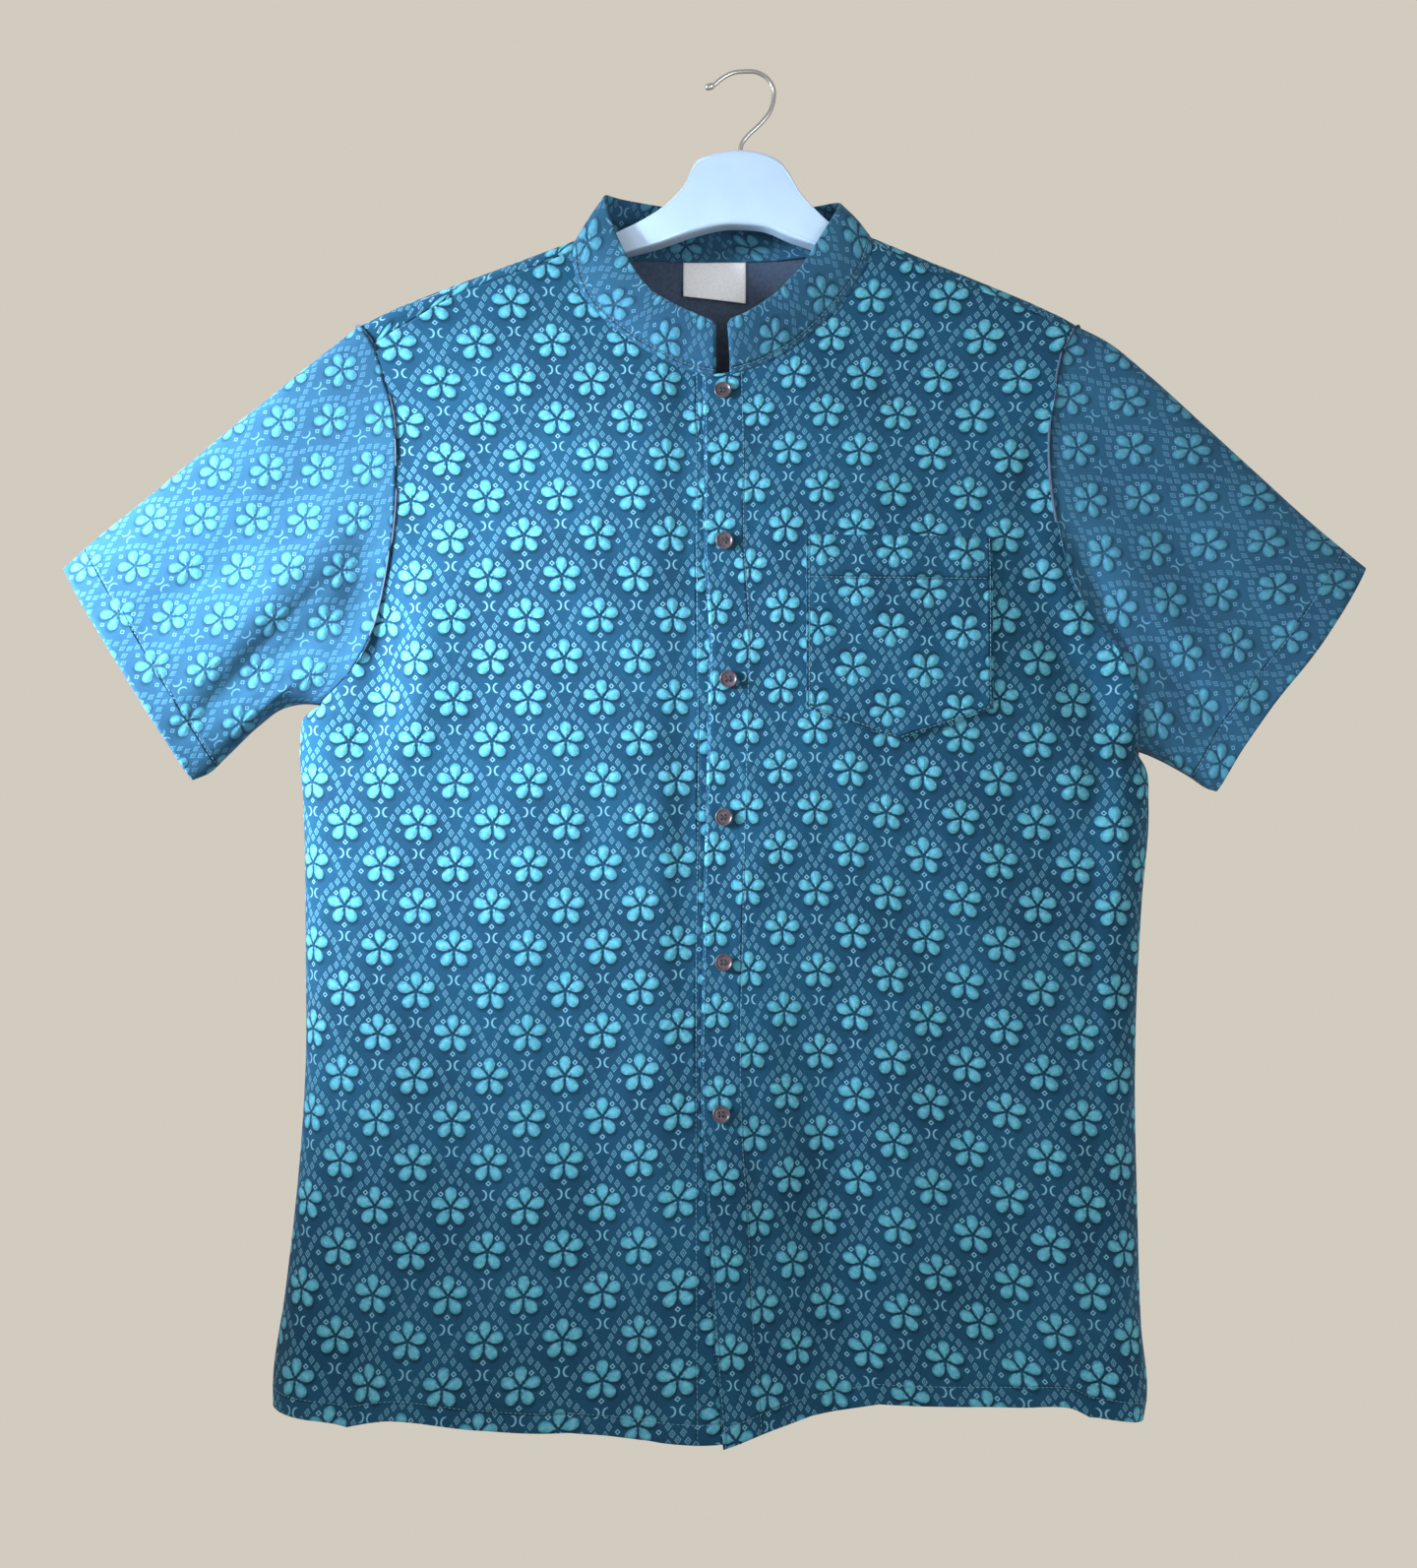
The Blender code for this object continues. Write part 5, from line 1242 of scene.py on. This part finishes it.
buttonLook = plainMaterial("buttonPlastic", linearColor(72, 64, 74), linearColor(50, 44, 54),
                           0.32, 420.0, 0.00002)
buttonThreadLook = plainMaterial("buttonThread", linearColor(38, 40, 52), linearColor(24, 26, 36), 0.7, 1500.0)
disc = buttonShape()
threadPlaces, threadFaces = [], []
for number, (x, z) in enumerate(zip(buttonPiece["x"], buttonPiece["z"]), start=1):
    addHard("shirtButton%d" % number, placedOnFront(disc, x, z), closedFaces(disc, True), buttonLook,
            "button_%d" % number)
    for side in (-1, 1):
        shape = threadShape(side * buttonPiece["holeAt"])
        first = sum(len(places) for places in threadPlaces)
        threadFaces += [[first + index for index in face] for face in closedFaces(shape, True)]
        threadPlaces.append(placedOnFront(shape, x, z))
addHard("buttonThread", np.concatenate(threadPlaces), threadFaces, buttonThreadLook)
print("stage: buttons")


# label: blank satin sewn in under the back neck seam

labelPiece = dict(x=-20.0, top=-119.3, width=42.0, height=27.8, leftLift=4.7, gap=0.8, wall=0.5, columns=28,
                  rows=20, curl=1.2, cornerCurl=1.6, curlPower=1.5, bulge=0.5)


def addLabel():
    # a rectangle on the inside of the back, its foot curling forward
    across = np.linspace(0, 1, labelPiece["columns"] + 1)
    down = np.linspace(0, 1, labelPiece["rows"] + 1)[:, None]
    tall = labelPiece["height"] - labelPiece["leftLift"] * (1 - across)
    z = labelPiece["top"] - down * tall
    x = labelPiece["x"] + (across - 0.5) * labelPiece["width"] + 0 * down
    places = withRun(np.stack([x.ravel(), z.ravel()], axis=1))
    inward = -(backPiece["wall"] + labelPiece["gap"])
    grid = clothPlaces(places, "back", 1.0, inward).reshape(x.shape + (3,))
    curl = labelPiece["curl"] + labelPiece["cornerCurl"] * (1 - across)
    grid[..., 1] -= down ** labelPiece["curlPower"] * curl
    grid[..., 1] -= labelPiece["bulge"] * np.sin(math.pi * across) * down
    piece = addCloth("neckLabel", grid, np.stack([x, z], axis=-1), labelLook, labelLook, labelPiece["wall"], -1)
    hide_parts("label")


labelLook = plainMaterial("labelSatin", linearColor(222, 226, 232), linearColor(208, 213, 222),
                          0.5, 700.0, 0.00008)
addLabel()
print("stage: label")


# hanger: flat moulded hub and arms with rounded edges and a raised rim

hangerPiece = dict(
    hubTopX=[-120.0, -98.0, -84.5, -65.0, -49.4, -39.7, -33.8, -31.0, -28.5, 19.3, 22.0, 27.9, 35.8, 45.5, 54.0,
             66.0, 76.0, 86.0, 100.0],
    hubTopZ=[-120.5, -113.5, -106.3, -96.9, -85.8, -74.8, -62.4, -58.6, -57.5, -57.5, -59.0, -65.7, -79.6,
             -90.7, -98.8, -108.0, -114.0, -118.0, -122.5],
    hubFootX=[-120.0, -76.0, -57.2, -33.8, -11.1, -1.9, 13.7, 29.3, 43.6, 60.0, 100.0],
    hubFootZ=[-134.0, -119.5, -114.4, -106.6, -101.7, -101.7, -103.4, -109.9, -114.8, -121.0, -137.0],
    middle=-4.6, halfOff=[0, 60, 78, 118, 140], half=[9.0, 8.6, 7.4, 7.4, 8.4],
    armOff=[100.0, 150.0, 205.0], armHeight=[17.0, 15.0, 13.0], seat=2.6, ends=(-220.5, 203.5), join=14.0,
    squareness=8.0, rim=0.6, rimAt=0.9, rimSoft=0.08, faceAt=(0.9, 0.98), endRound=6.0, endSize=0.02,
    stations=260, around=56,
)


def addHanger():
    # a rounded square section carried along the arms, between an upper and a lower line
    first, last = hangerPiece["ends"]
    x = np.linspace(first, last, hangerPiece["stations"])
    off = np.abs(x - hangerPiece["middle"])
    armTop = crestHeight(x) - hangerPiece["seat"]
    armFoot = armTop - np.interp(off, hangerPiece["armOff"], hangerPiece["armHeight"])
    hub = []
    for part in ("hubTop", "hubFoot"):
        fine = splineThrough(np.stack([hangerPiece[part + "X"], hangerPiece[part + "Z"]], axis=1),
                             np.linspace(0, 1, 3 * len(x)))
        hub.append(np.interp(x, fine[:, 0], fine[:, 1]))
    onArm = np.maximum(smoothStep(hangerPiece["hubTopX"][0] - x, 0, hangerPiece["join"]),
                       smoothStep(x - hangerPiece["hubTopX"][-1], 0, hangerPiece["join"]))
    top, foot = hub[0] * (1 - onArm) + armTop * onArm, hub[1] * (1 - onArm) + armFoot * onArm
    rounding = quarterRound(np.minimum(x - first, last - x) + hangerPiece["endSize"], hangerPiece["endRound"])
    half = np.interp(off, hangerPiece["halfOff"], hangerPiece["half"]) * rounding
    angles = np.linspace(0, 2 * math.pi, hangerPiece["around"] + 1)[:-1]
    power = 2 / hangerPiece["squareness"]
    sectionY = np.sign(np.cos(angles)) * np.abs(np.cos(angles)) ** power
    sectionZ = np.sign(np.sin(angles)) * np.abs(np.sin(angles)) ** power
    insideRim = smoothStep(hangerPiece["rimAt"] - np.abs(sectionZ), 0.0, hangerPiece["rimSoft"])
    inner = np.sign(sectionY) * insideRim * smoothStep(np.abs(sectionY), *hangerPiece["faceAt"])
    y = half[:, None] * sectionY - hangerPiece["rim"] * inner * rounding[:, None]
    z = ((top + foot) / 2)[:, None] + ((top - foot) / 2 * rounding)[:, None] * sectionZ
    rings = np.stack([np.broadcast_to(x[:, None], y.shape), y, z], axis=-1)
    addHard("mouldedHanger", rings.reshape(-1, 3), closedFaces(rings, ringFacesIn(rings)), hangerLook,
            "hanger")


hangerLook = plainMaterial("hangerPlastic", linearColor(166, 192, 222), linearColor(161, 187, 218),
                           0.34, 40.0, 0.00004)
addHanger()


# hook: bent wire with a rounded tip

hookPiece = dict(
    x=[-26.5, -24.6, -20.8, -16.2, -8.4, 0.0, 8.1, 14.9, 19.0, 18.8, 16.3, 9.8, 1.9, -1.9, -3.2, -3.6],
    z=[-9.0, -8.9, -7.6, -3.9, 0.4, 1.5, 0.9, -3.2, -10.4, -17.9, -25.4, -33.5, -41.0, -46.0, -52.0, -57.2],
    wire=1.5, tip=2.2, tipLength=5.0, tipStep=1.4, tipPole=0.02, steps=260, sides=20,
)


def addHook():
    # a round section carried along the bent line, thicker at the tip
    bends = np.stack([hookPiece["x"], hookPiece["z"]], axis=1)
    path = splineThrough(bends, np.linspace(0, 1, hookPiece["steps"]))
    lengths = lengthsAlong(path)
    tip = hookPiece["tip"]
    body = tip + (hookPiece["wire"] - tip) * smoothStep(lengths, hookPiece["tipLength"],
                                                        hookPiece["tipLength"] + hookPiece["tipStep"])
    radius = body * np.maximum(quarterRound(lengths, tip), hookPiece["tipPole"])
    along = unit(np.gradient(path, axis=0))
    inPlane = np.stack([-along[:, 1], np.zeros(len(path)), along[:, 0]], axis=1)
    angles = np.linspace(0, 2 * math.pi, hookPiece["sides"] + 1)[:-1]
    centre = np.stack([path[:, 0], np.zeros(len(path)), path[:, 1]], axis=1)
    rings = centre[:, None] + radius[:, None, None] * (inPlane[:, None] * np.cos(angles)[:, None]
                                                       + np.array([0.0, 1.0, 0.0]) * np.sin(angles)[:, None])
    addHard("hookWire", rings.reshape(-1, 3), closedFaces(rings, ringFacesIn(rings)), steelLook, "hook")


steelLook = plainMaterial("hookSteel", linearColor(188, 190, 194), linearColor(170, 172, 178),
                          0.26, 900.0, 0.00001, metallic=1.0)
addHook()
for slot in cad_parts["ferrule"].material_slots:
    slot.material = hangerLook
print("stage: hanger and hook")


# camera, light and floor

sensorWidth = 36.0
lights = {
    "windowLight": dict(place=(-2.0, -1.5, 0.35), target=(-0.02, 0.0, -0.4), size=1.0, power=17.0,
                        color=(0.96, 0.98, 1.0), spread=180.0),
    "sideLight": dict(place=(-1.15, -0.45, -0.16), target=(-0.38, 0.0, -0.33), size=0.3, power=6.0,
                      color=(0.80, 0.92, 1.0), spread=40.0),
    "fillLight": dict(place=(0.9, -2.0, -0.6), target=(0.12, 0.0, -0.55), size=1.2, power=19.0,
                      color=(0.95, 0.97, 1.0), spread=180.0),
}
room = dict(floorHalf=1800, floorLevel=-1900, color=linearColor(222, 215, 202), strength=0.88)


def addCamera():
    # the picture's height spans the sensor
    data = bpy.data.cameras.new("photoCamera")
    data.sensor_width = sensorWidth
    data.lens = view["distance"] / view["pixel"] / view["pixelsTall"] * sensorWidth
    camera = bpy.data.objects.new("photoCamera", data)
    camera.location = (view["x"] * mm, -view["distance"] * mm, view["z"] * mm)
    camera.rotation_euler = (math.pi / 2, 0.0, 0.0)
    bpy.context.scene.collection.objects.link(camera)
    bpy.context.scene.camera = camera


def addSoftLight(name, place, target, size, power, color, spread):
    # a round lamp turned towards its target; its spread is in degrees
    data = bpy.data.lights.new(name, "AREA")
    data.shape = "DISK"
    data.size = size
    data.energy = power
    data.color = color
    data.spread = math.radians(spread)
    light = bpy.data.objects.new(name, data)
    light.location = place
    direction = np.array(target) - np.array(place)
    light.rotation_euler = (math.acos(-direction[2] / np.linalg.norm(direction)), 0.0,
                            math.atan2(direction[1], direction[0]) - math.pi / 2)
    bpy.context.scene.collection.objects.link(light)


def addStage():
    half, level = room["floorHalf"], room["floorLevel"]
    corners = [[-half, -half, level], [half, -half, level], [half, half, level], [-half, half, level]]
    floor = meshObject("studioFloor", np.array(corners, float), [(0, 1, 2, 3)], smooth=False)
    floorLook = plainMaterial("paleFloor", linearColor(222, 214, 200), linearColor(216, 208, 194), 0.8, 3.0)
    floor.data.materials.append(floorLook)
    world = bpy.data.worlds.new("softRoom")
    world.use_nodes = True
    background = world.node_tree.nodes["Background"]
    background.inputs["Color"].default_value = room["color"]
    background.inputs["Strength"].default_value = room["strength"]
    bpy.context.scene.world = world


addCamera()
for name, values in lights.items():
    addSoftLight(name, **values)
addStage()
bpy.context.scene.view_settings.view_transform = "Standard"
print("stage: camera and light")
